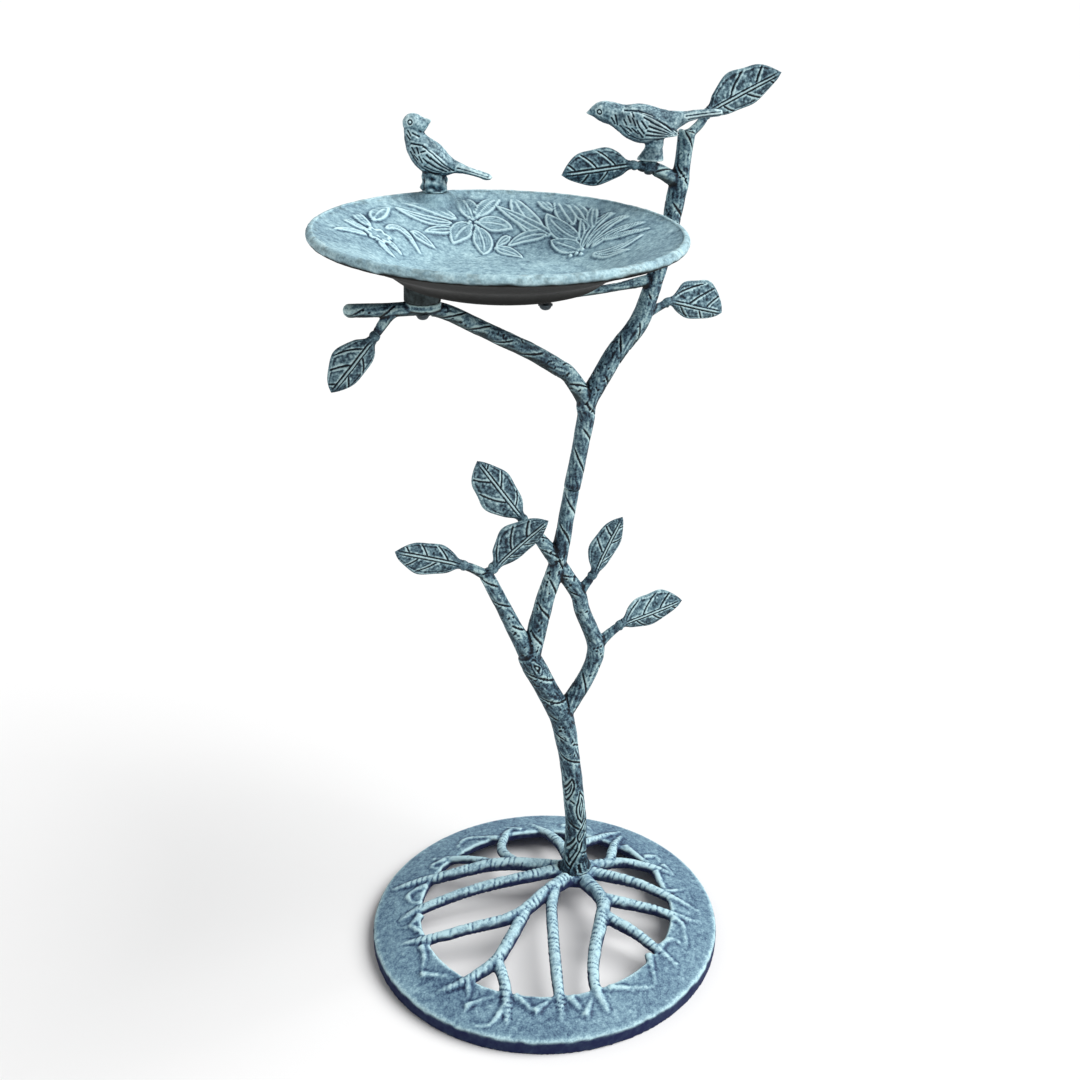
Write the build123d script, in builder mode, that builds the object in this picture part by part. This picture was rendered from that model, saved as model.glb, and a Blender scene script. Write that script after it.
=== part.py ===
"""Garden bird bath of cast aluminium: a pierced base of roots, a tree in two castings, a shallow bowl and two birds.

Millimetres, +Z up.  The origin is the centre of the base's underside.  Both tree castings are cast flat, in one
upright plane, so every branch lies at y = tree_y and its points are given as (x, z, radius).
"""

import os
from itertools import pairwise
from math import acos, cos, degrees, radians, sin, sqrt

from build123d import *

os.makedirs("parts", exist_ok=True)

# Base: a domed ring on a plain skirt, joined to the hub by roots.
base_radius = 165.0
base_edge = 14.0
ring_inner_radius = 120.0
dome_rise = 12.0
ring_wall = 8.0
skirt_width = 9.0
root_sink = 2.0
drawn_ring_radius = 120.0

# Hub, on which the trunk stands.
hub_x = 44.5
hub_radius = 21.0
hub_depth = 12.0
foot_radius = 16.5

# Tree plane, and the level at which the two tree castings are screwed together.
tree_y = 36.5
knuckle = 1.04
stem_joint_z = 446.0

# Bowl.
bowl_x = -48.5
bowl_y = 0.0
rim_radius = 144.5
rim_top = 686.0
rim_edge = 8.0
bowl_floor_radius = 66.0
bowl_underside = 645.0
bowl_wall = 4.5

# Two pads on the tree carry two bosses under the bowl.
pad_spread = 51.5
pad_top = 623.0
pad_thickness = 6.0
arm_pad_radius = 14.5
stub_pad_radius = 10.0

# Birds, each on one screw.
rim_bird_bearing = 95.0
rim_bird_inset = 11.5
plinth_radius = 10.5
plinth_height = 13.0
perch_x = 90.0
perch_seat = 725.0
perch_boss_radius = 6.5
perch_boss_depth = 8.5
bird_yaw = -25.0

# Fasteners and their clearances.
base_bolt_radius = 4.0
stud_radius = 3.0
bowl_screw_radius = 2.5
bird_screw_radius = 2.0
thread_clearance = 0.05
hole_clearance = 0.4
washer_thickness = 1.2
screw_bite = 12.0
stud_half_length = 16.0
bore_runout = 2.0
swivel_gap = 0.3

# Leaves.
leaf_thickness = 4.0
leaf_stalk = 6.0
stalk_knuckle = 1.15

# Bodies of the birds: (place along the body, radius), from the neck to the rump, and the head from cheek to cheek.
RIM_BIRD_BODY = [(-24, 6), (-16, 11.5), (-4, 13.5), (8, 11.5), (18, 7.5), (25, 4)]
PERCH_BIRD_BODY = [(-30, 7), (-20, 12), (-6, 14.5), (8, 13), (20, 8.5), (30, 4)]
BIRD_HEAD = [(-9.5, 3.5), (-6, 7.5), (0, 9.5), (6, 7.5), (9.5, 3.5)]

# The first root point that leaves the hub, and so on outwards: (x, y, radius), drawn for drawn_ring_radius.
ROOTS = [
    [(34, 46, 7.0), (-24, 70, 6.5), (-83, 79, 5.5), (-115, 85, 4.6), (-136, 88, 3.6)],
    [(-8, 64, 5.6), (-13, 93, 5.2), (0, 120, 4.6), (14, 133, 3.6)],
    [(-24, 70, 5.0), (-52, 97, 4.4), (-78, 112, 3.4)],
    [(36, 42, 7.0), (-2, 37, 6.2), (-56, 41, 5.6), (-109, 41, 5.0), (-138, 35, 3.8)],
    [(38, 30, 8.0), (3, 7, 7.2), (-35, -13, 6.4), (-78, -10, 5.6), (-119, -3, 5.0), (-143, 5, 3.6)],
    [(-22, -7, 6.2), (-54, -43, 6.2), (-74, -60, 6.0), (-107, -68, 4.8), (-128, -66, 3.6)],
    [(-70, -57, 5.4), (-73, -90, 5.4), (-83, -124, 3.8)],
    [(14, 12, 6.0), (0, -14, 5.8), (-15, -59, 5.6), (-25, -92, 5.6), (-38, -140, 3.8)],
    [(46, 28, 8.0), (50, -20, 7.0), (38, -46, 6.8), (17, -81, 6.2), (3, -114, 5.4), (4, -144, 3.8)],
    [(50, -18, 6.4), (87, -39, 5.4), (108, -53, 4.8), (130, -66, 3.6)],
    [(42, -40, 6.4), (66, -74, 5.4), (86, -113, 3.6)],
    [(52, 34, 7.0), (92, -1, 5.4), (117, -27, 4.8), (138, -52, 3.6)],
    [(52, 40, 7.0), (94, 33, 5.4), (124, 17, 4.8), (138, 4, 3.6)],
    [(82, 36, 5.6), (97, 62, 5.0), (114, 82, 3.6)],
    [(50, 46, 6.6), (62, 71, 5.2), (92, 84, 4.6), (118, 92, 3.4)],
    [(45, 46, 7.0), (46, 76, 5.8), (43, 104, 5.0), (33, 134, 3.8)],
]

# Branches of the lower casting.  The trunk starts on the hub and the main stem ends at the screwed joint.
TRUNK = [(43.2, 98, 10.3), (35.2, 165, 9.9), (29.3, 199, 10.9), (24.0, 219, 11.4), (8.8, 251, 10.3)]
TRUNK += [(-1.3, 272, 10.9), (-9.0, 288, 10.2)]
LEFT_BRANCH = [(-9.0, 288, 8.4), (-30.5, 336.5, 6.8), (-42.5, 363, 6.6), (-48.5, 374.5, 6.2)]
LOW_LEFT_TWIG = [(-48.5, 374.5, 4.9), (-60, 382.8, 4.1), (-66, 386, 3.8)]
FRONT_TWIG = [(-48.5, 374.5, 5.2), (-43.5, 378.8, 4.2)]
MAIN_STEM = [(-6.0, 284, 9.0), (6.8, 340, 8.4), (19.0, 378, 7.6), (28.5, 434.8, 6.9)]
CROSS_BRANCH = [(24.0, 214, 9.4), (44.8, 244, 8.0), (55.2, 264.5, 7.9), (58.7, 283, 8.3), (52, 303, 7.5)]
CROSS_BRANCH += [(43.5, 324.5, 7.3), (39.1, 341.5, 7.2), (26.9, 362.4, 7.1), (14.6, 382.7, 7.0), (4.4, 397.9, 6.0)]
CROSS_BRANCH += [(-7.9, 415.2, 4.4), (-13, 421.4, 3.8)]
UPRIGHT_TWIG = [(39.1, 341.5, 5.6), (46.6, 350.6, 4.2), (50.8, 356, 3.6)]
RIGHT_TWIG = [(58.7, 283, 6.0), (70.4, 293.7, 4.4), (79.5, 299.8, 3.9)]

# Branches of the upper casting, from the screwed joint.
UPPER_STEM = [(36.7, 480.7, 7.3), (41.8, 512.2, 7.8), (42.3, 524.5, 8.6), (54.5, 545.9, 8.2), (68.4, 567.6, 8.5)]
UPPER_STEM += [(86.8, 589.6, 8.4), (95.0, 610.6, 7.7), (104.5, 640.6, 7.3), (110.5, 662.9, 7.4), (115.3, 690.7, 7.8)]
UPPER_STEM += [(118.0, 706.0, 8.2), (119.9, 719.6, 6.6), (122.6, 748.0, 6.4)]
ARM = [(42.3, 524.5, 7.8), (26.1, 549.5, 7.1), (14.3, 558.5, 7.2), (-12.4, 575.6, 7.0), (-52.8, 597.6, 6.8)]
ARM += [(-81.7, 613.0, 6.4), (-100.0, 617.0, 6.0), (-130.0, 618.0, 5.6), (-160.5, 620.0, 5.5)]
ARM_TWIG = [(-122, 617.5, 5.0), (-128.6, 611.9, 4.3), (-137.4, 599.8, 3.6)]
STUB = [(97.9, 627.0, 5.0), (68.8, 623.1, 3.9), (47.4, 621.2, 3.7), (3.0, 619.8, 4.2)]
STEM_TWIG = [(92.6, 597.8, 4.8), (103.8, 602.2, 3.7), (110.5, 604.9, 3.4)]
PERCH_TWIG = [(118.0, 706.0, 6.0), (100.3, 716.3, 5.1), (88.0, 720.2, 4.7), (79.5, 721.0, 3.2)]
CROWN_TWIG = [(121.8, 742.0, 4.2), (132.9, 751.5, 3.6), (137.6, 757.6, 3.4)]

# Leaves: name, the twig that it ends, length, heading, half-width each side with its place along, lean forward.
LEAVES = [
    ("low_left_leaf", LOW_LEFT_TWIG, 62.0, 158.9, (33, 17.0), (31, 13.0), 0.0),
    ("front_leaf", FRONT_TWIG, 63.0, 47.2, (28, 20.0), (28, 12.5), 13.0),
    ("cross_tip_leaf", CROSS_BRANCH, 67.0, 124.5, (30, 20.0), (24, 13.5), 0.0),
    ("upright_leaf", UPRIGHT_TWIG, 58.0, 65.3, (22, 14.5), (30, 12.0), 0.0),
    ("low_right_leaf", RIGHT_TWIG, 63.5, 10.2, (34, 19.5), (27, 13.5), 0.0),
    ("arm_leaf", ARM_TWIG, 53.0, -129.2, (28, 13.0), (30, 16.5), 0.0),
    ("stem_leaf", STEM_TWIG, 54.0, -16.6, (23, 23.0), (23, 11.0), 0.0),
    ("perch_leaf", PERCH_TWIG, 58.0, -173.5, (32, 12.0), (26, 16.5), 0.0),
    ("crown_leaf", CROWN_TWIG, 69.0, 25.3, (42, 17.5), (38, 13.0), 0.0),
]


# The dome is part of a sphere on the Z axis, through the skirt's top edge and the ring's inner edge.
edge_reach = base_radius**2 - ring_inner_radius**2
dome_centre_z = base_edge - (edge_reach - dome_rise**2) / (2 * dome_rise)
dome_radius = sqrt(base_radius**2 + (base_edge - dome_centre_z) ** 2)


def dome_height(x, y):
    """Height of the base's domed top at a point in plan."""
    return dome_centre_z + sqrt(dome_radius**2 - x**2 - y**2)


hub_seat = dome_height(hub_x, tree_y)
hub_underside = hub_seat - hub_depth


def in_tree(points):
    """Tree points (x, z, radius) as places in space with a radius."""
    return [((x, tree_y, z), radius) for x, z, radius in points]


def on_dome(points):
    """Root points (x, y, radius) laid on the dome, spread about the hub as the ring's opening is."""
    spread = ring_inner_radius / drawn_ring_radius
    laid = []
    for x, y, radius in points:
        place_x = hub_x + (x - hub_x) * spread
        place_y = tree_y + (y - tree_y) * spread
        laid.append(((place_x, place_y, dome_height(place_x, place_y) - root_sink), radius))
    return laid


def round_limb(points):
    """A round limb that tapers from point to point, with a slight knuckle at each bend."""
    with BuildPart() as limb:
        for (near, near_radius), (far, far_radius) in pairwise(points):
            run = Vector(*far) - Vector(*near)
            with Locations(Plane(origin=near, z_dir=run)):
                if abs(near_radius - far_radius) < 0.01:
                    Cylinder(near_radius, run.length, align=(Align.CENTER, Align.CENTER, Align.MIN))
                else:
                    Cone(near_radius, far_radius, run.length, align=(Align.CENTER, Align.CENTER, Align.MIN))
        for (near, _), (place, radius) in pairwise(points[:-1]):
            with Locations(Plane(origin=place, z_dir=Vector(*place) - Vector(*near))):
                Sphere(radius * knuckle)
    return limb.part.solids().sort_by(SortBy.VOLUME)[-1]


def upright(x, y, z, radius, height):
    """A plain upright cylinder that stands on z."""
    with BuildPart() as post:
        with Locations((x, y, z)):
            Cylinder(radius, height, align=(Align.CENTER, Align.CENTER, Align.MIN))
    return post.part


def save(piece, name):
    """Label a finished piece and write it."""
    piece.label = name
    export_step(piece, f"parts/{name}.step")


def pan_screw(x, y, head_top, radius, length):
    """A pan-head screw, shank up, whose head bears at head_top."""
    head_radius = radius * 2.0
    head_height = radius * 1.4
    with BuildPart() as screw:
        with BuildSketch(Plane.XZ.offset(-y)) as section:
            with BuildLine():
                Polyline(
                    (x, head_top - head_height),
                    (x, head_top + length),
                    (x + radius, head_top + length),
                    (x + radius, head_top),
                    (x + head_radius, head_top),
                )
                ThreePointArc(
                    (x + head_radius, head_top),
                    (x + head_radius * 0.75, head_top - head_height * 0.8),
                    (x, head_top - head_height),
                )
            make_face()
        revolve(axis=Axis((x, y, 0), (0, 0, 1)))
        with Locations((x, y, head_top - head_height)):
            Box(radius * 2.6, radius * 0.4, radius * 0.9, mode=Mode.SUBTRACT)
    return screw.part


def flat_washer(x, y, top, inner_radius, outer_radius):
    """A flat washer whose upper face is at top."""
    with BuildPart() as washer:
        with BuildSketch(Plane.XY.offset(top - washer_thickness)):
            with Locations((x, y)):
                Circle(outer_radius)
                Circle(inner_radius, mode=Mode.SUBTRACT)
        extrude(amount=washer_thickness)
    return washer.part


def make_root_base():
    """The base casting: skirt, domed ring, roots and hub, with the bolt's hole from beneath."""
    skirt_inner = base_radius - skirt_width
    under_radius = dome_radius - ring_wall
    outer_angle = degrees(acos(base_radius / dome_radius))
    inner_angle = degrees(acos(ring_inner_radius / dome_radius))
    under_outer_angle = degrees(acos(skirt_inner / under_radius))
    under_inner_angle = degrees(acos(ring_inner_radius / under_radius))
    with BuildPart() as base:
        with BuildSketch(Plane.XZ):
            with BuildLine():
                centre = (0, dome_centre_z)
                top = CenterArc(centre, dome_radius, outer_angle, inner_angle - outer_angle)
                under = CenterArc(centre, under_radius, under_outer_angle, under_inner_angle - under_outer_angle)
                Line(top @ 1, under @ 1)
                Polyline(under @ 0, (skirt_inner, 0), (base_radius, 0), top @ 0)
            make_face()
        revolve()
        for route in ROOTS:
            add(round_limb(on_dome(route)))
        add(upright(hub_x, tree_y, hub_underside, hub_radius, hub_depth + 3))
        flat_above = upright(hub_x, tree_y, hub_seat, hub_radius * 1.5, hub_depth * 2)
        add(flat_above, mode=Mode.SUBTRACT)
        flat_below = upright(hub_x, tree_y, -5, base_bolt_radius * 2.6, hub_underside + 5)
        add(flat_below, mode=Mode.SUBTRACT)
        bolt_hole = upright(hub_x, tree_y, -5, base_bolt_radius + hole_clearance, hub_seat * 2)
        add(bolt_hole, mode=Mode.SUBTRACT)
    save(base.part, "root_base")


def make_base_fixing():
    """The hexagon bolt and its washer, which draw the trunk down on the hub from beneath."""
    head_top = hub_underside - washer_thickness
    head_height = base_bolt_radius * 1.3
    bolt_tip = hub_seat + base_bolt_radius * 5
    with BuildPart() as bolt:
        with BuildSketch(Plane.XY.offset(head_top - head_height)):
            with Locations((hub_x, tree_y)):
                RegularPolygon(base_bolt_radius * 1.85, 6)
        extrude(amount=head_height)
        with BuildSketch(Plane.XY.offset(head_top)):
            with Locations((hub_x, tree_y)):
                Circle(base_bolt_radius)
        extrude(amount=bolt_tip - head_top)
        chamfer(bolt.edges().group_by(Axis.Z)[-1], length=base_bolt_radius * 0.2)
    save(bolt.part, "base_bolt")
    washer = flat_washer(
        hub_x, tree_y, hub_underside, base_bolt_radius + hole_clearance, base_bolt_radius * 2.2
    )
    save(washer, "base_washer")


def stem_joint():
    """Place and direction of the screwed joint between the two tree castings."""
    low_x, low_z, _ = MAIN_STEM[-1]
    high_x, high_z, _ = UPPER_STEM[0]
    share = (stem_joint_z - low_z) / (high_z - low_z)
    place = (low_x + (high_x - low_x) * share, tree_y, stem_joint_z)
    return Plane(origin=place, z_dir=(high_x - low_x, 0, high_z - low_z))


def stud_bore(joint):
    """The bore for the stud, blind into both castings."""
    with BuildPart() as bore:
        with Locations(joint):
            Cylinder(stud_radius + thread_clearance, 2 * (stud_half_length + bore_runout))
    return bore.part


def make_lower_tree():
    """The lower tree casting: trunk, left branch, main stem and the branch that crosses it."""
    joint = stem_joint()
    foot = [
        ((hub_x, tree_y, hub_seat), foot_radius),
        ((hub_x, tree_y, hub_seat + 18), foot_radius * 0.75),
    ]
    joint_end = [(tuple(joint.origin), MAIN_STEM[-1][2])]
    with BuildPart() as tree:
        add(round_limb(foot + in_tree(TRUNK)))
        add(round_limb(in_tree(MAIN_STEM) + joint_end))
        for route in (LEFT_BRANCH, LOW_LEFT_TWIG, FRONT_TWIG, CROSS_BRANCH, UPRIGHT_TWIG, RIGHT_TWIG):
            add(round_limb(in_tree(route)))
        bolt_reach = base_bolt_radius * 5 + bore_runout
        bolt_bore = upright(hub_x, tree_y, hub_seat, base_bolt_radius + thread_clearance, bolt_reach)
        add(bolt_bore, mode=Mode.SUBTRACT)
        add(stud_bore(joint), mode=Mode.SUBTRACT)
    save(tree.part, "lower_tree")


def make_stem_stud():
    """The threaded stud that joins the two tree castings."""
    with BuildPart() as stud:
        with Locations(stem_joint()):
            Cylinder(stud_radius, 2 * stud_half_length)
        chamfer(stud.edges().filter_by(GeomType.CIRCLE), length=stud_radius * 0.2)
    save(stud.part, "stem_stud")


def pad_places():
    """Centre and radius of the arm's pad and of the stub's pad."""
    return [(bowl_x - pad_spread, arm_pad_radius), (bowl_x + pad_spread, stub_pad_radius)]


pad_seat = pad_top - pad_thickness - 4.0


def make_upper_tree():
    """The upper tree casting: stem, bowl arm with its pad, bowl stub with its pad, perch twig and crown."""
    joint = stem_joint()
    joint_end = [(tuple(joint.origin), UPPER_STEM[0][2])]
    with BuildPart() as tree:
        add(round_limb(joint_end + in_tree(UPPER_STEM)))
        for route in (ARM, ARM_TWIG, STUB, STEM_TWIG, PERCH_TWIG, CROWN_TWIG):
            add(round_limb(in_tree(route)))
        for x, radius in pad_places():
            add(upright(x, tree_y, pad_top - pad_thickness, radius, pad_thickness))
            clear_radius = bowl_screw_radius + hole_clearance
            add(upright(x, tree_y, pad_top, radius * 1.5, pad_thickness * 2), mode=Mode.SUBTRACT)
            add(upright(x, tree_y, pad_seat - 8, bowl_screw_radius * 2.8, 8), mode=Mode.SUBTRACT)
            add(upright(x, tree_y, pad_seat - 8, clear_radius, pad_thickness + 20), mode=Mode.SUBTRACT)
        perch_underside = perch_seat - perch_boss_depth
        add(upright(perch_x, tree_y, perch_underside, perch_boss_radius, perch_boss_depth))
        clear_radius = bird_screw_radius + thread_clearance
        add(upright(perch_x, tree_y, perch_seat, perch_boss_radius * 1.5, 12), mode=Mode.SUBTRACT)
        add(upright(perch_x, tree_y, perch_underside - 8, perch_boss_radius, 8), mode=Mode.SUBTRACT)
        add(upright(perch_x, tree_y, perch_underside - 8, clear_radius, 24), mode=Mode.SUBTRACT)
        add(stud_bore(joint), mode=Mode.SUBTRACT)
    save(tree.part, "upper_tree")


def make_leaf(name, twig, length, heading, upper_side, lower_side, lean):
    """One leaf: a pointed blade on a short stalk that butts against the end of its twig."""
    end_x, end_z, end_radius = twig[-1]
    last_x, last_z, _ = twig[-2]
    along = Vector(cos(radians(heading)) * cos(radians(lean)), -sin(radians(lean)), 0)
    along = Vector(along.X, along.Y, sin(radians(heading)) * cos(radians(lean)))
    across = Vector(-sin(radians(heading)), 0, cos(radians(heading)))
    twig_run = Vector(end_x - last_x, 0, end_z - last_z).normalized()
    twig_end = Vector(end_x, tree_y, end_z)
    blade_root = twig_end + twig_run * leaf_stalk
    blade = Plane(origin=blade_root, x_dir=along, z_dir=along.cross(across))
    with BuildPart() as leaf:
        with BuildSketch(blade):
            with BuildLine():
                ThreePointArc((0, end_radius * 0.9), upper_side, (length, 0))
                ThreePointArc((length, 0), (lower_side[0], -lower_side[1]), (0, -end_radius * 0.9))
                Line((0, -end_radius * 0.9), (0, end_radius * 0.9))
            make_face()
        extrude(amount=leaf_thickness / 2, both=True)
        with Locations(Plane(origin=twig_end, z_dir=twig_run)):
            Cone(
                end_radius * 1.12, end_radius, leaf_stalk, align=(Align.CENTER, Align.CENTER, Align.MIN)
            )
        with Locations(Plane(origin=blade_root, z_dir=twig_run)):
            Sphere(end_radius * stalk_knuckle)
    save(leaf.part, name)


def rim_bird_place():
    """Plan position of the rim bird's screw."""
    reach = rim_radius - rim_bird_inset
    bearing = radians(rim_bird_bearing)
    return bowl_x + reach * cos(bearing), bowl_y + reach * sin(bearing)


def make_bowl():
    """The bowl casting: shallow dish, thick rolled rim, two blind bosses below and a flat seat on the rim."""
    floor_top = bowl_underside + bowl_wall
    corner = bowl_floor_radius + 12
    shoulder = bowl_floor_radius + 29
    rim_low = rim_top - rim_edge
    bird_x, bird_y = rim_bird_place()
    with BuildPart() as bowl:
        with BuildSketch(Plane.XZ.offset(-bowl_y)):
            with BuildLine():
                Polyline(
                    (bowl_x, floor_top),
                    (bowl_x, bowl_underside),
                    (bowl_x + bowl_floor_radius, bowl_underside),
                    (bowl_x + corner, bowl_underside + 2.5),
                    (bowl_x + shoulder, bowl_underside + 15),
                    (bowl_x + rim_radius - 4, rim_low),
                )
                ThreePointArc(
                    (bowl_x + rim_radius - 4, rim_low),
                    (bowl_x + rim_radius, rim_low + rim_edge / 2),
                    (bowl_x + rim_radius - 3.5, rim_top),
                )
                Spline(
                    (bowl_x + rim_radius - 3.5, rim_top),
                    (bowl_x + rim_radius - 18, rim_top - 6.5),
                    (bowl_x + shoulder, bowl_underside + 20.5),
                    (bowl_x + corner, floor_top + 6),
                    (bowl_x + bowl_floor_radius - 8, floor_top),
                    tangents=((-1, 0), (-1, 0)),
                )
                Line((bowl_x + bowl_floor_radius - 8, floor_top), (bowl_x, floor_top))
            make_face()
        revolve(axis=Axis((bowl_x, bowl_y, 0), (0, 0, 1)))
        for x, radius in pad_places():
            add(upright(x, tree_y, pad_top, radius, bowl_underside - pad_top + 2))
            tapped = bowl_screw_radius + thread_clearance
            add(upright(x, tree_y, pad_top, tapped, screw_bite + bore_runout), mode=Mode.SUBTRACT)
        seat_depth = rim_edge + 1
        seat_radius = min(plinth_radius + 0.5, rim_bird_inset)
        add(upright(bird_x, bird_y, rim_top + 1 - seat_depth, seat_radius, seat_depth))
        screw_hole = bird_screw_radius + thread_clearance
        add(upright(bird_x, bird_y, rim_top - 30, screw_hole, 60), mode=Mode.SUBTRACT)
        seat_face = rim_top + 1 - seat_depth
        add(upright(bird_x, bird_y, seat_face - 10, bird_screw_radius * 2.6, 10), mode=Mode.SUBTRACT)
    save(bowl.part, "bowl")


def make_bowl_fixings():
    """The two screws that hold the bowl from below the pads, and their washers."""
    head_top = pad_seat - washer_thickness
    length = pad_top - head_top + screw_bite
    screws = [pan_screw(x, tree_y, head_top, bowl_screw_radius, length) for x, _ in pad_places()]
    washers = []
    for x, _ in pad_places():
        hole = bowl_screw_radius + hole_clearance
        washers.append(flat_washer(x, tree_y, pad_seat, hole, bowl_screw_radius * 2.4))
    save(Compound(children=screws), "bowl_screws")
    save(Compound(children=washers), "bowl_washers")


def carved_body(plane, sections):
    """An eight-sided body lofted along the plane's x through (place, radius) sections."""
    with BuildPart() as body:
        for place, radius in sections:
            origin = plane.origin + plane.x_dir * place
            with BuildSketch(Plane(origin=origin, x_dir=plane.z_dir, z_dir=plane.x_dir)):
                RegularPolygon(radius, 8, rotation=22.5)
        loft(ruled=True)
    return body.part


def bird_plane(x, y, along, z, pitch):
    """A plane in a bird's own upright plane: along is measured tailward from the screw, pitch raises the tail."""
    yaw = radians(bird_yaw)
    tilt = radians(pitch)
    origin = (x + along * cos(yaw), y + along * sin(yaw), z)
    x_dir = Vector(cos(yaw) * cos(tilt), sin(yaw) * cos(tilt), sin(tilt))
    return Plane(origin=origin, x_dir=x_dir, z_dir=(sin(yaw), -cos(yaw), 0))


def tail(plane, length, root_width, end_width, thickness):
    """A flat tail that widens or narrows along the plane's x."""
    with BuildPart() as feathers:
        with BuildSketch(plane):
            with BuildLine():
                Polyline(
                    (0, -thickness * 0.7),
                    (length, -thickness * 0.4),
                    (length, thickness * 0.4),
                    (0, thickness * 0.7),
                    close=True,
                )
            make_face()
        extrude(amount=(root_width + end_width) / 4, both=True)
    return feathers.part


def beak(plane, length, radius):
    """A pointed beak that starts at the plane's origin and points along its z."""
    with BuildPart() as bill:
        with Locations(plane):
            Cone(radius, 0.4, length, align=(Align.CENTER, Align.CENTER, Align.MIN))
    return bill.part


def make_rim_bird():
    """The bird on the rim: upright body, head turned back over the shoulder, on a round plinth."""
    x, y = rim_bird_place()
    seat = rim_top + 1 + swivel_gap * 0.2
    head = bird_plane(x, y, -17.0, seat + 54, 0)
    with BuildPart() as bird:
        add(upright(x, y, seat, plinth_radius, plinth_height))
        add(carved_body(bird_plane(x, y, -6.0, seat + 30, -42), RIM_BIRD_BODY))
        add(carved_body(head, BIRD_HEAD))
        bill_way = head.x_dir * 0.97 + Vector(0, -0.1, -0.18)
        bill_root = head.origin + bill_way.normalized() * 7.0
        add(beak(Plane(origin=bill_root, z_dir=bill_way), 10.0, 4.2))
        add(tail(bird_plane(x, y, 8.0, seat + 18, -16), 40, 9, 11, 4.5))
        bore = upright(x, y, seat - 1, bird_screw_radius + thread_clearance, 1 + screw_bite + bore_runout)
        add(bore, mode=Mode.SUBTRACT)
    save(bird.part, "rim_bird")


def make_perch_bird():
    """The bird on the perch twig: level body, tail over the cut end of the stem, on one sloping foot."""
    x, y = perch_x, tree_y
    seat = perch_seat + swivel_gap * 0.2
    head = bird_plane(x, y, -37.5, seat + 35.5, 0)
    with BuildPart() as bird:
        with Locations((x, y, seat)):
            Cone(7.5, 6.0, 5, align=(Align.CENTER, Align.CENTER, Align.MIN))
            Cylinder(5.6, 24, align=(Align.CENTER, Align.CENTER, Align.MIN))
        add(carved_body(bird_plane(x, y, -6.0, seat + 29, -2), PERCH_BIRD_BODY))
        add(carved_body(head, BIRD_HEAD))
        bill_way = head.x_dir * -0.98 + Vector(0, 0, -0.2)
        bill_root = head.origin + bill_way.normalized() * 7.5
        add(beak(Plane(origin=bill_root, z_dir=bill_way), 8.0, 3.8))
        add(tail(bird_plane(x, y, 14.0, seat + 32.0, 9), 42, 8, 10, 5.0))
        bore = upright(x, y, seat - 1, bird_screw_radius + thread_clearance, 1 + screw_bite + bore_runout)
        add(bore, mode=Mode.SUBTRACT)
    save(bird.part, "perch_bird")


def make_bird_fixings():
    """One screw for each bird, up through the rim or the twig, and the washer under the rim."""
    x, y = rim_bird_place()
    under_rim = rim_top - rim_edge
    seat = rim_top + 1 + swivel_gap * 0.2
    hole = bird_screw_radius + hole_clearance
    save(flat_washer(x, y, under_rim, hole, bird_screw_radius * 2.4), "rim_bird_washer")
    head_top = under_rim - washer_thickness
    save(pan_screw(x, y, head_top, bird_screw_radius, seat - head_top + screw_bite), "rim_bird_screw")
    head_top = perch_seat - perch_boss_depth
    seat = perch_seat + swivel_gap * 0.2
    screw = pan_screw(perch_x, tree_y, head_top, bird_screw_radius, seat - head_top + screw_bite)
    save(screw, "perch_bird_screw")


make_root_base()
make_base_fixing()
make_lower_tree()
make_stem_stud()
make_upper_tree()
for leaf_values in LEAVES:
    make_leaf(*leaf_values)
make_bowl()
make_bowl_fixings()
make_rim_bird()
make_perch_bird()
make_bird_fixings()
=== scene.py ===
"""Garden bird bath of cast aluminium with a blue-green patina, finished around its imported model.

The scene is in metres.  Shapes are worked out in millimetres and scaled as they become meshes.  Both tree castings
lie in one upright plane, and the base's top is a shallow dome.
"""

import bmesh
import bpy
import numpy as np
from mathutils import Matrix, Vector


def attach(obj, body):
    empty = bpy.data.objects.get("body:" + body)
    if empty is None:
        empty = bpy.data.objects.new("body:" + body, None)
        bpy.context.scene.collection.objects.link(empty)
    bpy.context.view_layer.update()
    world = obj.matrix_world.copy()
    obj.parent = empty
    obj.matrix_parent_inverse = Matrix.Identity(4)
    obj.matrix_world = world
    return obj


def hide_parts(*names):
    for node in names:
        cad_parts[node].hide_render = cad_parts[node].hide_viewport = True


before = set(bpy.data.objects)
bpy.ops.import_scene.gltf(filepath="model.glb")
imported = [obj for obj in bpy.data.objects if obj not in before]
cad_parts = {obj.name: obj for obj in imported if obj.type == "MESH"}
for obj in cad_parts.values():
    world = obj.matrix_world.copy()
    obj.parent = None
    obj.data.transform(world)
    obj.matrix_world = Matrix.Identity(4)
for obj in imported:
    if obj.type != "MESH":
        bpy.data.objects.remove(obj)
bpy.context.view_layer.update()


# Studio: a plain pale floor, a soft white surround and one broad soft light from the upper right.
# The camera stands in front and to the left, a little higher than the piece, and looks down on it.


def placed(name, data):
    """A new object in the scene."""
    obj = bpy.data.objects.new(name, data)
    bpy.context.scene.collection.objects.link(obj)
    return obj


floor_mesh = bpy.data.meshes.new("studio_floor")
floor_reach = 40.0
floor_corners = [(-1, -1), (1, -1), (1, 1), (-1, 1)]
floor_mesh.from_pydata([(x * floor_reach, y * floor_reach, 0.0) for x, y in floor_corners], [], [(0, 1, 2, 3)])
floor = placed("studio_floor", floor_mesh)
floor_paint = bpy.data.materials.new("studio_floor_paint")
floor_paint.use_nodes = True
floor_shader = floor_paint.node_tree.nodes["Principled BSDF"]
floor_shader.inputs["Base Color"].default_value = (0.9, 0.9, 0.9, 1)
floor_shader.inputs["Roughness"].default_value = 0.9
floor_shader.inputs["Specular IOR Level"].default_value = 0.1
floor_mesh.materials.append(floor_paint)

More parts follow.
